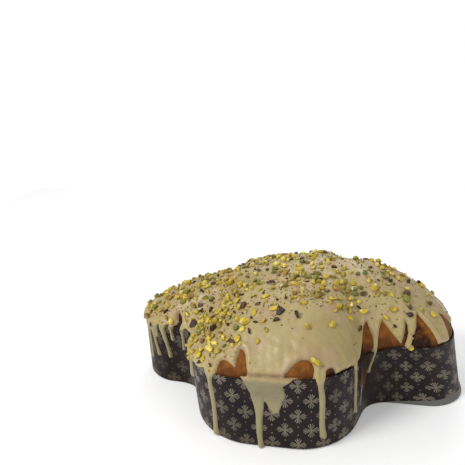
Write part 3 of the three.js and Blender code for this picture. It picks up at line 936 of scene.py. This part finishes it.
# %% [markdown]
# Each bit is a small rounded lump of a few dozen faces cut by flat planes, because a knife leaves flat
# faces on round kernels. All bits of a kind are worked out together as one array and joined in one mesh.
# A bit leans a little from the glaze's upward direction, and a quarter to a third of it is sunk.

# %% Shape of a chopped bit
ROUGH, LEAN = 0.1, 0.35
# how long, wide and thick a bit is for its size, each from the least to the most
STRETCH = [(0.85, 1.2), (0.6, 0.9), (0.6, 0.85)]


def lump_form(around, rings):
    """A ball of a few faces: longitude by latitude, with a point at each pole."""
    turn = np.arange(around) / around * 2 * np.pi
    tilt = np.linspace(-np.pi / 2, np.pi / 2, rings + 2)[1:-1, None]
    flat = np.cos(tilt)
    circles = np.stack(np.broadcast_arrays(flat * np.cos(turn), flat * np.sin(turn), np.sin(tilt)), -1)
    points, faces = ring_mesh([np.array([[0.0, 0.0, -1.0]])] + list(circles))
    points, faces = with_end(points, faces, [0.0, 0.0, 1.0], around)
    return points, faces[:, ::-1]


def chopped(random, ball, sizes, cuts):
    """Balls roughened, pushed in wherever they pass a plane, and stretched to their sizes in mm."""
    count = len(sizes)
    bits = ball * (1 + ROUGH * random.normal(size=(count, len(ball), 1)))
    number, shallow, deep = cuts
    for _ in range(number):
        plane = unit(random.normal(size=(count, 1, 3)))
        reach = random.uniform(shallow, deep, (count, 1, 1))
        bits = bits - np.maximum((bits * plane).sum(-1, keepdims=True) - reach, 0) * plane
    stretch = np.stack([random.uniform(least, most, count) for least, most in STRETCH], -1)
    return bits * stretch[:, None] * sizes[:, None, None] / 2, sizes * stretch[:, 2] / 2


def turned(random, bits, upward):
    """Bits with their own z axis leaned a little from the upward directions, and turned about it."""
    up = unit(upward + 0.5 * random.normal(scale=LEAN, size=upward.shape))
    side = unit(np.cross(up, random.normal(size=upward.shape)))
    across = np.cross(up, side)
    return bits[..., :1] * side[:, None] + bits[..., 1:2] * across[:, None] + bits[..., 2:] * up[:, None]


def scattered(name, picks, sizes, cuts, form, seed, colours, sunk=0.36, sharp=48):
    """One mesh of bits at the picked faces, each with a share of its height sunk below the glaze."""
    random = np.random.default_rng(seed)
    ball, ball_faces = lump_form(*form)
    bits, height = chopped(random, ball, sizes, cuts)
    middle = face_middle[picks] + face_up[picks] * (height * (1 - 2 * sunk))[:, None]
    points = turned(random, bits, face_up[picks]) + middle[:, None]
    offsets = np.arange(len(picks))[:, None, None] * len(ball)
    piece = add_surface(name, points.reshape(-1, 3), (ball_faces + offsets).reshape(-1, 3))
    tint = colours(random, bits)
    add_attribute(piece, "tint", np.concatenate([tint, np.ones((*tint.shape[:2], 1))], -1).reshape(-1, 4))
    piece.data.set_sharp_from_angle(angle=np.radians(sharp))
    return piece


print("a ball of 8 by 4 has", len(lump_form(8, 4)[1]), "faces")

# %% [markdown]
# Under its purple-brown skin a pistachio is green outside and yellow where it is cut, and roasting turns
# some of it ochre. Each bit gets one of these colours, one side shades towards another, and its underside
# turns brown, partly with skin and partly as painted shade.

# %% Colours of the nuts and the chocolate
NUT_COLOURS = np.array([linear(*colour) for colour in [
    (206, 179, 46), (228, 208, 90), (156, 136, 34), (110, 118, 34), (172, 130, 48), (112, 80, 38),
    (84, 58, 44),
]])
NUT_SHARES = [0.38, 0.19, 0.16, 0.13, 0.07, 0.04, 0.03]
CRUMB_SHARES = [0.22, 0.08, 0.2, 0.06, 0.24, 0.14, 0.06]
# the skin's brown, laid under each bit partly as painted shade
SKIN_AND_SHADE = linear(80, 62, 28)
CHOCOLATE_COLOURS = np.array([linear(*colour) for colour in [(50, 33, 24), (60, 39, 28), (88, 62, 48)]])
CHOCOLATE_SHARES = [0.55, 0.3, 0.15]


def side_share(along, start, end):
    """A smooth step over each bit, from its own coordinates divided by the largest of them."""
    return smooth_step(along / (np.abs(along).max(axis=1, keepdims=True) + 1e-6), start, end)[..., None]


def nut_tint(random, bits, shares=NUT_SHARES):
    """Two colours blended along each bit, skin and painted shade below, the first few in the two brightest.
    """
    count = len(bits)
    first = NUT_COLOURS[random.choice(len(NUT_COLOURS), count, p=shares)]
    second = NUT_COLOURS[random.choice(len(NUT_COLOURS), count, p=shares)]
    first[:len(NUT_MARKS)], second[:len(NUT_MARKS)] = NUT_COLOURS[:2]
    blend = first[:, None] + (second - first)[:, None] * side_share(bits[..., 0], -0.2, 0.9) * 0.7
    # painted shade: the underside turns towards the skin's brown, partly skin and partly shade
    blend += (SKIN_AND_SHADE - blend) * side_share(-bits[..., 2], -0.3, 0.7) * 0.6
    return blend * random.uniform(0.8, 1.15, (count, 1, 1))


def crumb_tint(random, bits):
    """As the nuts, with more of the ochre and brown, since small crumbs roast more."""
    return nut_tint(random, bits, CRUMB_SHARES)


def chocolate_tint(random, bits):
    """One brown for each bit, lighter or darker by chance."""
    count = len(bits)
    tone = CHOCOLATE_COLOURS[random.choice(len(CHOCOLATE_COLOURS), count, p=CHOCOLATE_SHARES)]
    return np.repeat(tone[:, None], bits.shape[1], axis=1) * random.uniform(0.8, 1.2, (count, 1, 1))


print(len(NUT_COLOURS), "colours of nut and", len(CHOCOLATE_COLOURS), "of chocolate")

# %% [markdown]
# Nuts and chocolate keep clear of each other, and a few of each are laid where they catch the eye. The
# crumbs and flecks fall anywhere. Most bits of a kind are small and few are large.

# %% Scatter the nuts, the chocolate and the crumbs
def sizes_for(picks, smallest, largest, seed):
    """Sizes in mm, the largest first, most of them near the smaller end: a beta distribution."""
    share = np.random.default_rng(seed).beta(1.6, 2.2, len(picks))
    return np.sort(smallest + (largest - smallest) * share)[::-1]


def with_marks(marks, marked, picks, sizes):
    """The faces and sizes of the marked bits, followed by those of the scattered ones."""
    return np.concatenate([marked, picks]), np.concatenate([[mark[3] for mark in marks], sizes])


nut_marks, dark_marks = marked_faces(NUT_MARKS), marked_faces(CHOCOLATE_MARKS)
taken = list(face_middle[np.concatenate([nut_marks, dark_marks])])

picks, taken = drop_places(450, 4.3, 2.5, 0.9, 31, taken)
picks, sizes = with_marks(NUT_MARKS, nut_marks, picks, sizes_for(picks, 4.4, 9.4, 71))
nuts = scattered("pistachio_pieces", picks, sizes, (3, 0.3, 0.8), (8, 4), 41, nut_tint)

picks, _ = drop_places(85, 4.3, 3.0, 0.9, 51, taken)
picks, sizes = with_marks(CHOCOLATE_MARKS, dark_marks, picks, sizes_for(picks, 3.4, 8.6, 72))
cuts = (5, 0.15, 0.5)
chocolate = scattered("chocolate_pieces", picks, sizes, cuts, (7, 4), 61, chocolate_tint, sharp=30)

picks, _ = drop_places(2400, 1.1, 1.5, 1.1, 81, handfuls=CRUMB_HEAPS)
sizes = sizes_for(picks, 0.6, 2.6, 73)
crumbs = scattered("nut_crumbs", picks, sizes, (2, 0.25, 0.7), (5, 2), 91, crumb_tint, sunk=0.3)

picks, _ = drop_places(420, 1.6, 1.5, 1.0, 101, handfuls=CRUMB_HEAPS)
sizes = sizes_for(picks, 0.7, 2.2, 74)
flecks = scattered("chocolate_flecks", picks, sizes, (2, 0.2, 0.6), (5, 2), 111, chocolate_tint, sunk=0.25)

# %% [markdown]
# Materials are built from nodes. Short helpers keep them readable: they add a node and set its fields,
# do arithmetic on sockets, mix colours, read what a mesh keeps for its points, and start a material with
# a Principled shader.

# %% Helpers for nodes
def add_node(tree, kind, **fields):
    """A new node with the given fields set."""
    node = tree.nodes.new(kind)
    for name, value in fields.items():
        setattr(node, name, value)
    return node


def feed(tree, socket, value):
    """Links a socket or sets a plain value."""
    if isinstance(value, bpy.types.NodeSocket):
        tree.links.new(value, socket)
    else:
        socket.default_value = value


def maths(tree, operation, *values):
    """The result of one arithmetic step on sockets or plain values."""
    node = add_node(tree, "ShaderNodeMath", operation=operation)
    for socket, value in zip(node.inputs, values):
        feed(tree, socket, value)
    return node.outputs[0]


def stepped(tree, value, start, end, low=0.0, high=1.0):
    """A smooth ramp from low to high as the value goes from start to end."""
    node = add_node(tree, "ShaderNodeMapRange", interpolation_type="SMOOTHSTEP")
    names = ("Value", "From Min", "From Max", "To Min", "To Max")
    for name, given in zip(names, (value, start, end, low, high)):
        feed(tree, node.inputs[name], given)
    return node.outputs["Result"]


def mixed(tree, share, first, second):
    """The first colour where the share is 0, the second where it is 1."""
    node = add_node(tree, "ShaderNodeMix", data_type="RGBA")
    for name, value in (("Factor_Float", share), ("A_Color", first), ("B_Color", second)):
        feed(tree, next(socket for socket in node.inputs if socket.identifier == name), value)
    return next(socket for socket in node.outputs if socket.identifier == "Result_Color")


def new_material(name, **sockets):
    """A material, its node tree and its shader, with plain values set on the shader's sockets."""
    material = bpy.data.materials.new(name)
    material.use_nodes = True
    shader = material.node_tree.nodes["Principled BSDF"]
    for socket, value in sockets.items():
        shader.inputs[socket.replace("_", " ")].default_value = value
    return material, material.node_tree, shader


def object_point(tree):
    """The place of the shaded point on the object, in metres."""
    return add_node(tree, "ShaderNodeTexCoord").outputs["Object"]


def stored(tree, name, output="Fac"):
    """What the mesh keeps for its points under a name: a number, or with Color a colour."""
    return add_node(tree, "ShaderNodeAttribute", attribute_name=name).outputs[output]


def bumped(tree, shader, height, strength, distance):
    """Tilts the shader's normal as if the surface had the given height."""
    bump = add_node(tree, "ShaderNodeBump")
    bump.inputs["Strength"].default_value = strength
    bump.inputs["Distance"].default_value = distance
    feed(tree, bump.inputs["Height"], height)
    tree.links.new(bump.outputs["Normal"], shader.inputs["Normal"])


# %% [markdown]
# Crust, glaze, nuts and paper all need a mottle: soft patches of a chosen size and contrast. It is built
# once as a node group, with the size, the detail and the range as inputs, and put into each material.

# %% Mottle group
def mottle_group():
    """Noise at a place, turned into a mask that goes from 0 at Low to 1 at High."""
    group = bpy.data.node_groups.new("mottle", "ShaderNodeTree")
    group.interface.new_socket(name="Vector", in_out="INPUT", socket_type="NodeSocketVector")
    for name, value in (("Scale", 50.0), ("Detail", 3.0), ("Low", 0.4), ("High", 0.6)):
        socket = group.interface.new_socket(name=name, in_out="INPUT", socket_type="NodeSocketFloat")
        socket.default_value = value
    group.interface.new_socket(name="Mask", in_out="OUTPUT", socket_type="NodeSocketFloat")
    given = group.nodes.new("NodeGroupInput").outputs
    noise = group.nodes.new("ShaderNodeTexNoise")
    for name in ("Vector", "Scale", "Detail"):
        group.links.new(given[name], noise.inputs[name])
    mask = stepped(group, noise.outputs["Fac"], given["Low"], given["High"])
    group.links.new(mask, group.nodes.new("NodeGroupOutput").inputs["Mask"])
    return group


MOTTLE = mottle_group()
print("the mottle group has", len(MOTTLE.nodes), "nodes")


def mottle(tree, vector, scale, low=0.4, high=0.6, detail=3.0):
    """The mottle's mask in a material, with its own scale and range."""
    node = add_node(tree, "ShaderNodeGroup", node_tree=MOTTLE)
    for socket, value in zip(node.inputs, (vector, scale, detail, low, high)):
        feed(tree, socket, value)
    return node.outputs["Mask"]


def mottled_roughness(tree, shader, scale):
    """Patches that shine more and less: a roughness from 0.36 to 0.5."""
    patches = mottle(tree, object_point(tree), scale)
    tree.links.new(stepped(tree, patches, 0, 1, 0.36, 0.5), shader.inputs["Roughness"])


# %% [markdown]
# The glaze is white chocolate with pistachio paste: pale beige with a green or a pink cast in places,
# fine specks of ground nut, and a soft gloss. Light goes a little way into it.

# %% Glaze material
def glaze_material():
    """A cream with casts laid over it one by one, each by its own mask and share."""
    material, tree, shader = new_material(
        "pistachio_glaze", Roughness=0.42, Subsurface_Weight=0.12, Subsurface_Scale=0.004, IOR=1.46
    )
    shader.inputs["Subsurface Radius"].default_value = (1.0, 0.75, 0.4)
    point = object_point(tree)
    cream = mixed(tree, mottle(tree, point, 26, 0.38, 0.64), rgba(178, 160, 112), rgba(168, 149, 98))
    paper_through = mixed(tree, mottle(tree, point, 90, 0.35, 0.65), rgba(118, 113, 90), rgba(96, 90, 76))
    casts = [
        (mottle(tree, point, 45, 0.48, 0.66), 0.55, rgba(176, 148, 118)),
        (stored(tree, "hanging"), 0.75, rgba(140, 134, 97)),
        (stored(tree, "thin"), 0.48, paper_through),
        # the band above the smear: partly thin brown glaze, partly painted shadow under its lower edge
        (stored(tree, "brown_band_and_shadow"), 0.6, rgba(112, 82, 52)),
        (mottle(tree, point, 950, 0.66, 0.72, 2.0), 0.55, rgba(108, 86, 44)),
        (mottle(tree, point, 520, 0.68, 0.74, 2.0), 0.5, rgba(140, 132, 60)),
    ]
    for mask, share, colour in casts:
        cream = mixed(tree, maths(tree, "MULTIPLY", mask, share), cream, colour)
    tree.links.new(cream, shader.inputs["Base Color"])
    mottled_roughness(tree, shader, 60)
    bumped(tree, shader, mottle(tree, point, 240, 0.3, 0.7, 4.0), 0.25, 0.0006)
    return material


glaze_finish = glaze_material()
print("the glaze's material has", len(glaze_finish.node_tree.nodes), "nodes")

# %% [markdown]
# The number kept for each point says how dark the crust is there, painted shade in the notch included, and
# the mottle breaks it up into the golden brown, brown and nearly black of a real crust.

# %% Crust material
def crust_material():
    """Golden brown, brown and nearly black by the darkness kept, painted shade in the notch included."""
    material, tree, shader = new_material("browned_crust", Roughness=0.62, Specular_IOR_Level=0.12)
    point = object_point(tree)
    patches = maths(tree, "MULTIPLY", mottle(tree, point, 160, 0.35, 0.65), 0.22)
    tone = maths(tree, "ADD", stored(tree, "bake_and_shade"), patches)
    brown = mixed(tree, stepped(tree, tone, 0.2, 0.85), rgba(137, 84, 32), rgba(92, 52, 18))
    brown = mixed(tree, stepped(tree, tone, 0.8, 1.35), brown, rgba(38, 19, 12))
    fleck = maths(tree, "MULTIPLY", mottle(tree, point, 620, 0.62, 0.7), 0.5)
    brown = mixed(tree, fleck, brown, rgba(62, 32, 12))
    tree.links.new(brown, shader.inputs["Base Color"])
    tree.links.new(stepped(tree, tone, 0.3, 1.2, 0.66, 0.42), shader.inputs["Roughness"])
    bumped(tree, shader, mottle(tree, point, 420, 0.25, 0.75, 5.0), 0.5, 0.0007)
    return material


crust_finish = crust_material()
print("the crust's material has", len(crust_finish.node_tree.nodes), "nodes")

# %% [markdown]
# The print is a lattice of flowers drawn from formulas, so it stays sharp at any distance. A flower has
# four fans of petals with a dark gap between them. The plane is folded into an eighth of a turn with two
# petals in it, each a wedge with a round end, and the folding repeats them all round. Near the centre the
# petals run together. Two dots sit between the flowers of a column.

# %% Flower group
# a petal's angle from the fan's axis, where it ends, and its half width there
PETALS = [(0.14, 6.6, 0.4), (0.44, 5.8, 0.38)]
PETAL_BASE, FLOWER_TALL, SOFT = 0.08, 1.02, 0.3
DOT_PLACE, DOT_RADIUS, DOT_INK = 10.3, 0.65, 0.7


def squared_sum_root(tree, x, y):
    """Distance from the origin: the square root of x squared and y squared together."""
    x_squared, y_squared = maths(tree, "MULTIPLY", x, x), maths(tree, "MULTIPLY", y, y)
    return maths(tree, "SQRT", maths(tree, "ADD", x_squared, y_squared))


def flower_group():
    """Mask of one flower and its dots, from X and Y in millimetres from its centre."""
    group = bpy.data.node_groups.new("flower", "ShaderNodeTree")
    for name in ("X", "Y"):
        group.interface.new_socket(name=name, in_out="INPUT", socket_type="NodeSocketFloat")
    group.interface.new_socket(name="Mask", in_out="OUTPUT", socket_type="NodeSocketFloat")
    given = group.nodes.new("NodeGroupInput").outputs
    x, y = given["X"], maths(group, "DIVIDE", given["Y"], FLOWER_TALL)
    radius = squared_sum_root(group, x, y)
    turn = maths(group, "ARCTAN2", y, x)
    quarter = maths(group, "FLOORED_MODULO", maths(group, "ADD", turn, np.pi / 4), np.pi / 2)
    folded = maths(group, "ABSOLUTE", maths(group, "SUBTRACT", quarter, np.pi / 4))
    mask = 0.0
    for at, end, half in PETALS:
        off = maths(group, "SUBTRACT", folded, at)
        across = maths(group, "MULTIPLY", radius, maths(group, "SINE", off))
        out = maths(group, "MULTIPLY", radius, maths(group, "COSINE", off))
        grown = maths(group, "MINIMUM", maths(group, "DIVIDE", out, end - half), 1.0)
        width = maths(group, "ADD", maths(group, "MULTIPLY", grown, half - PETAL_BASE), PETAL_BASE)
        past = maths(group, "MAXIMUM", maths(group, "SUBTRACT", out, end - half), 0.0)
        beyond = maths(group, "SUBTRACT", squared_sum_root(group, across, past), width)
        mask = maths(group, "MAXIMUM", stepped(group, beyond, SOFT * 0.5, -SOFT * 0.5), mask)
    beside = maths(group, "SUBTRACT", maths(group, "ABSOLUTE", given["Y"]), DOT_PLACE)
    dots = stepped(group, squared_sum_root(group, x, beside), DOT_RADIUS + SOFT, DOT_RADIUS - SOFT)
    mask = maths(group, "MAXIMUM", mask, maths(group, "MULTIPLY", dots, DOT_INK))
    group.links.new(mask, group.nodes.new("NodeGroupOutput").inputs["Mask"])
    return group


FLOWER = flower_group()
print("the flower group has", len(FLOWER.nodes), "nodes")

# %% [markdown]
# Two such lattices, one set half a step off the other both ways, make the print. Its ink is worn in
# patches, the dark paper is mottled, stains and painted shade darken both, and a pale grey band lies along
# the foot of the tail.

# %% Paper material
def lattice(tree, shift):
    """Flowers at the whole numbers of the print map, or halfway between them when shifted by a half."""
    print_uv = add_node(tree, "ShaderNodeUVMap", uv_map="print").outputs["UV"]
    parts = add_node(tree, "ShaderNodeSeparateXYZ")
    tree.links.new(print_uv, parts.inputs[0])
    node = add_node(tree, "ShaderNodeGroup", node_tree=FLOWER)
    for axis, size in (("X", FLOWER_STEP), ("Y", FLOWER_RISE)):
        within = maths(tree, "FRACT", maths(tree, "ADD", parts.outputs[axis], shift + 0.5))
        from_centre = maths(tree, "MULTIPLY", maths(tree, "SUBTRACT", within, 0.5), size)
        tree.links.new(from_centre, node.inputs[axis])
    return node.outputs["Mask"]


def paper_material():
    """Worn ink over dark paper, then stains and painted shade, then the pale band below its upper edge."""
    material, tree, shader = new_material("printed_paper", Roughness=0.46, Specular_IOR_Level=0.12)
    point = object_point(tree)
    ink = maths(tree, "MAXIMUM", lattice(tree, 0.0), lattice(tree, 0.5))
    fine_wear = stepped(tree, mottle(tree, point, 300, 0.3, 0.6), 0, 1, 0.65, 1.0)
    broad_wear = stepped(tree, mottle(tree, point, 22, 0.35, 0.6), 0, 1, 0.6, 1.0)
    worn = maths(tree, "MULTIPLY", fine_wear, broad_wear)
    ground = mixed(tree, mottle(tree, point, 40, 0.35, 0.65), rgba(39, 26, 28), rgba(26, 18, 19))
    colour = mixed(tree, maths(tree, "MULTIPLY", ink, worn), ground, rgba(136, 127, 110))
    # stains, and painted shade in the notch, beside it and on the head's wall, darken ink and paper
    colour = mixed(tree, stored(tree, "stain_and_shade"), colour, rgba(30, 18, 13))
    colour = mixed(tree, stepped(tree, stored(tree, "below_band"), 0.0, 0.4), colour, rgba(104, 105, 100))
    tree.links.new(colour, shader.inputs["Base Color"])
    mottled_roughness(tree, shader, 130)
    bumped(tree, shader, mottle(tree, point, 700, 0.3, 0.7, 4.0), 0.12, 0.0003)
    return material


paper_finish = paper_material()
print("the paper's material has", len(paper_finish.node_tree.nodes), "nodes")

# %% [markdown]
# Nuts and chocolate read their colour from the tint that the mesh keeps. Cut nuts are oily, so they
# shine more than the glaze does, and their faces are lightly grained.

# %% Nut and chocolate materials
def bit_material(name, roughness, coat, grain_colour, grain_share, grain_scale):
    """The kept tint with a grain of another colour over part of it, under a thin oily coat."""
    material, tree, shader = new_material(
        name, Roughness=roughness, Coat_Weight=coat, Coat_Roughness=0.15, Specular_IOR_Level=0.3
    )
    point = object_point(tree)
    grain = maths(tree, "MULTIPLY", mottle(tree, point, grain_scale, 0.45, 0.62), grain_share)
    grained = mixed(tree, grain, stored(tree, "tint", "Color"), grain_colour)
    tree.links.new(grained, shader.inputs["Base Color"])
    bumped(tree, shader, mottle(tree, point, 900, 0.3, 0.7), 0.3, 0.0004)
    return material


def syrup_material():
    """Two greys of dried syrup in patches."""
    material, tree, shader = new_material("dried_syrup", Roughness=0.35)
    patches = mottle(tree, object_point(tree), 200)
    grey = mixed(tree, patches, rgba(140, 134, 122), rgba(112, 100, 86))
    tree.links.new(grey, shader.inputs["Base Color"])
    return material


nut_finish = bit_material("cut_pistachio", 0.34, 0.45, rgba(112, 80, 26), 0.45, 420)
chocolate_finish = bit_material("broken_chocolate", 0.5, 0.05, rgba(92, 66, 50), 0.35, 600)
syrup_finish = syrup_material()
print("made", nut_finish.name, "and", chocolate_finish.name, "and", syrup_finish.name)

# %% [markdown]
# Each piece rides on the loaf's one body and takes its material, and the packed solid that it stands for is
# hidden.

# %% Dress the pieces
DRESS = [
    (glaze, glaze_finish, "glaze", "glaze"), (loaf, crust_finish, "loaf", "crust"),
    (paper, paper_finish, "paper_mould", "paper_mould"), (nuts, nut_finish, "glaze", "pistachio"),
    (crumbs, nut_finish, "glaze", "pistachio"), (chocolate, chocolate_finish, "glaze", "chocolate"),
    (flecks, chocolate_finish, "glaze", "chocolate"), (syrup, syrup_finish, "loaf", "crust"),
    (strip, crust_finish, "loaf", "crust"),
]
for piece, material, node, slot in DRESS:
    piece.data.materials.append(material)
    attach(piece, "root")
    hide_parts(node)
print(len(DRESS), "pieces dressed")

# %% [markdown]
# The picture is taken from above the near wing, with the head to the left. The camera's place, its turn
# about the three axes and its focal length were fitted to the outlines of the paper and the crown.

# %% Camera
CAMERA_PLACE = np.array([48.2, -434.2, 304.0])
YAW, PITCH, ROLL = -0.2147, 0.3346, -0.0529
FOCAL_PIXELS, IMAGE_PIXELS, SENSOR = 493.0, 465, 36.0


def frame_matrix(side, top, back, place):
    """Three axes and a place in metres as the columns of one placement."""
    matrix = np.eye(4)
    matrix[:3] = np.stack([side, top, back, place], -1)
    return Matrix(matrix.tolist())


def camera_matrix():
    """Axes of the camera from its yaw, pitch and roll, with the view along minus Z as Blender has it."""
    forward = np.array([np.sin(YAW) * np.cos(PITCH), np.cos(YAW) * np.cos(PITCH), -np.sin(PITCH)])
    right = np.array([np.cos(YAW), -np.sin(YAW), 0.0])
    up = np.cross(right, forward)
    side = np.cos(ROLL) * right + np.sin(ROLL) * up
    top = -np.sin(ROLL) * right + np.cos(ROLL) * up
    return frame_matrix(side, top, -forward, CAMERA_PLACE * MM)


camera_data = bpy.data.cameras.new("camera")
camera_data.sensor_width = SENSOR
camera_data.lens = SENSOR * FOCAL_PIXELS / IMAGE_PIXELS
camera = bpy.data.objects.new("camera", camera_data)
camera.matrix_world = camera_matrix()
bpy.context.scene.collection.objects.link(camera)
bpy.context.scene.camera = camera
print("lens", round(camera_data.lens, 1), "mm")

# %% [markdown]
# The largest light is high on the left and in front, so the glaze is bright towards the head and on the
# wing, and the tail's side falls into shade. A weak one opens that shade, and one behind lights the rim.

# %% Lights
AIM = np.array([0.02, 0.0, 0.06])


def area_light(name, place, size, power):
    """A round soft light at a place in metres, turned to the middle of the loaf."""
    data = bpy.data.lights.new(name, "AREA")
    data.shape, data.size, data.energy = "DISK", size, power
    light = bpy.data.objects.new(name, data)
    back = unit(np.array(place) - AIM)
    side = unit(np.cross([0.0, 0.0, 1.0], back))
    light.matrix_world = frame_matrix(side, np.cross(back, side), back, place)
    bpy.context.scene.collection.objects.link(light)
    print(name, "light of", power, "watts")


area_light("key", (-0.75, -0.68, 1.0), 0.5, 10.5)
area_light("fill", (0.9, -0.4, 0.7), 0.8, 0.5)
area_light("back", (0.1, 0.95, 0.9), 0.8, 4)

# %% [markdown]
# The loaf stands on a pale floor in a white room. Where the camera sees the room it is plain white, and
# as a light it is little more than half as strong, so that the shaded sides stay dark. The floor glows
# faintly, so that it doesn't show as a grey patch in front of the white.

# %% Floor and room
FLOOR_HALF, FLOOR_BELOW, FLOOR_GLOW = 750.0, 0.2, 0.16
ROOM_LIGHT = 0.56

floor_corners = np.array([[-1, -1], [1, -1], [1, 1], [-1, 1]]) * FLOOR_HALF
floor_corners = np.column_stack([floor_corners, np.full(4, -FLOOR_BELOW)])
floor = add_surface("floor", floor_corners, np.array([[0, 1, 2, 3]]), smooth=False)
floor_material, _, floor_shader = new_material("pale_table", Roughness=0.8, Emission_Strength=FLOOR_GLOW)
floor_shader.inputs["Base Color"].default_value = rgba(250, 250, 250)
floor.data.materials.append(floor_material)

world = bpy.data.worlds.new("soft_room")
world.use_nodes = True
room = world.node_tree.nodes["Background"]
room.inputs["Color"].default_value = (1.0, 1.0, 1.0, 1.0)
seen = add_node(world.node_tree, "ShaderNodeLightPath").outputs["Is Camera Ray"]
strength = maths(world.node_tree, "MULTIPLY_ADD", seen, 1.0 - ROOM_LIGHT, ROOM_LIGHT)
world.node_tree.links.new(strength, room.inputs["Strength"])
bpy.context.scene.world = world
bpy.context.scene.view_settings.view_transform = "Standard"

# %% [markdown]
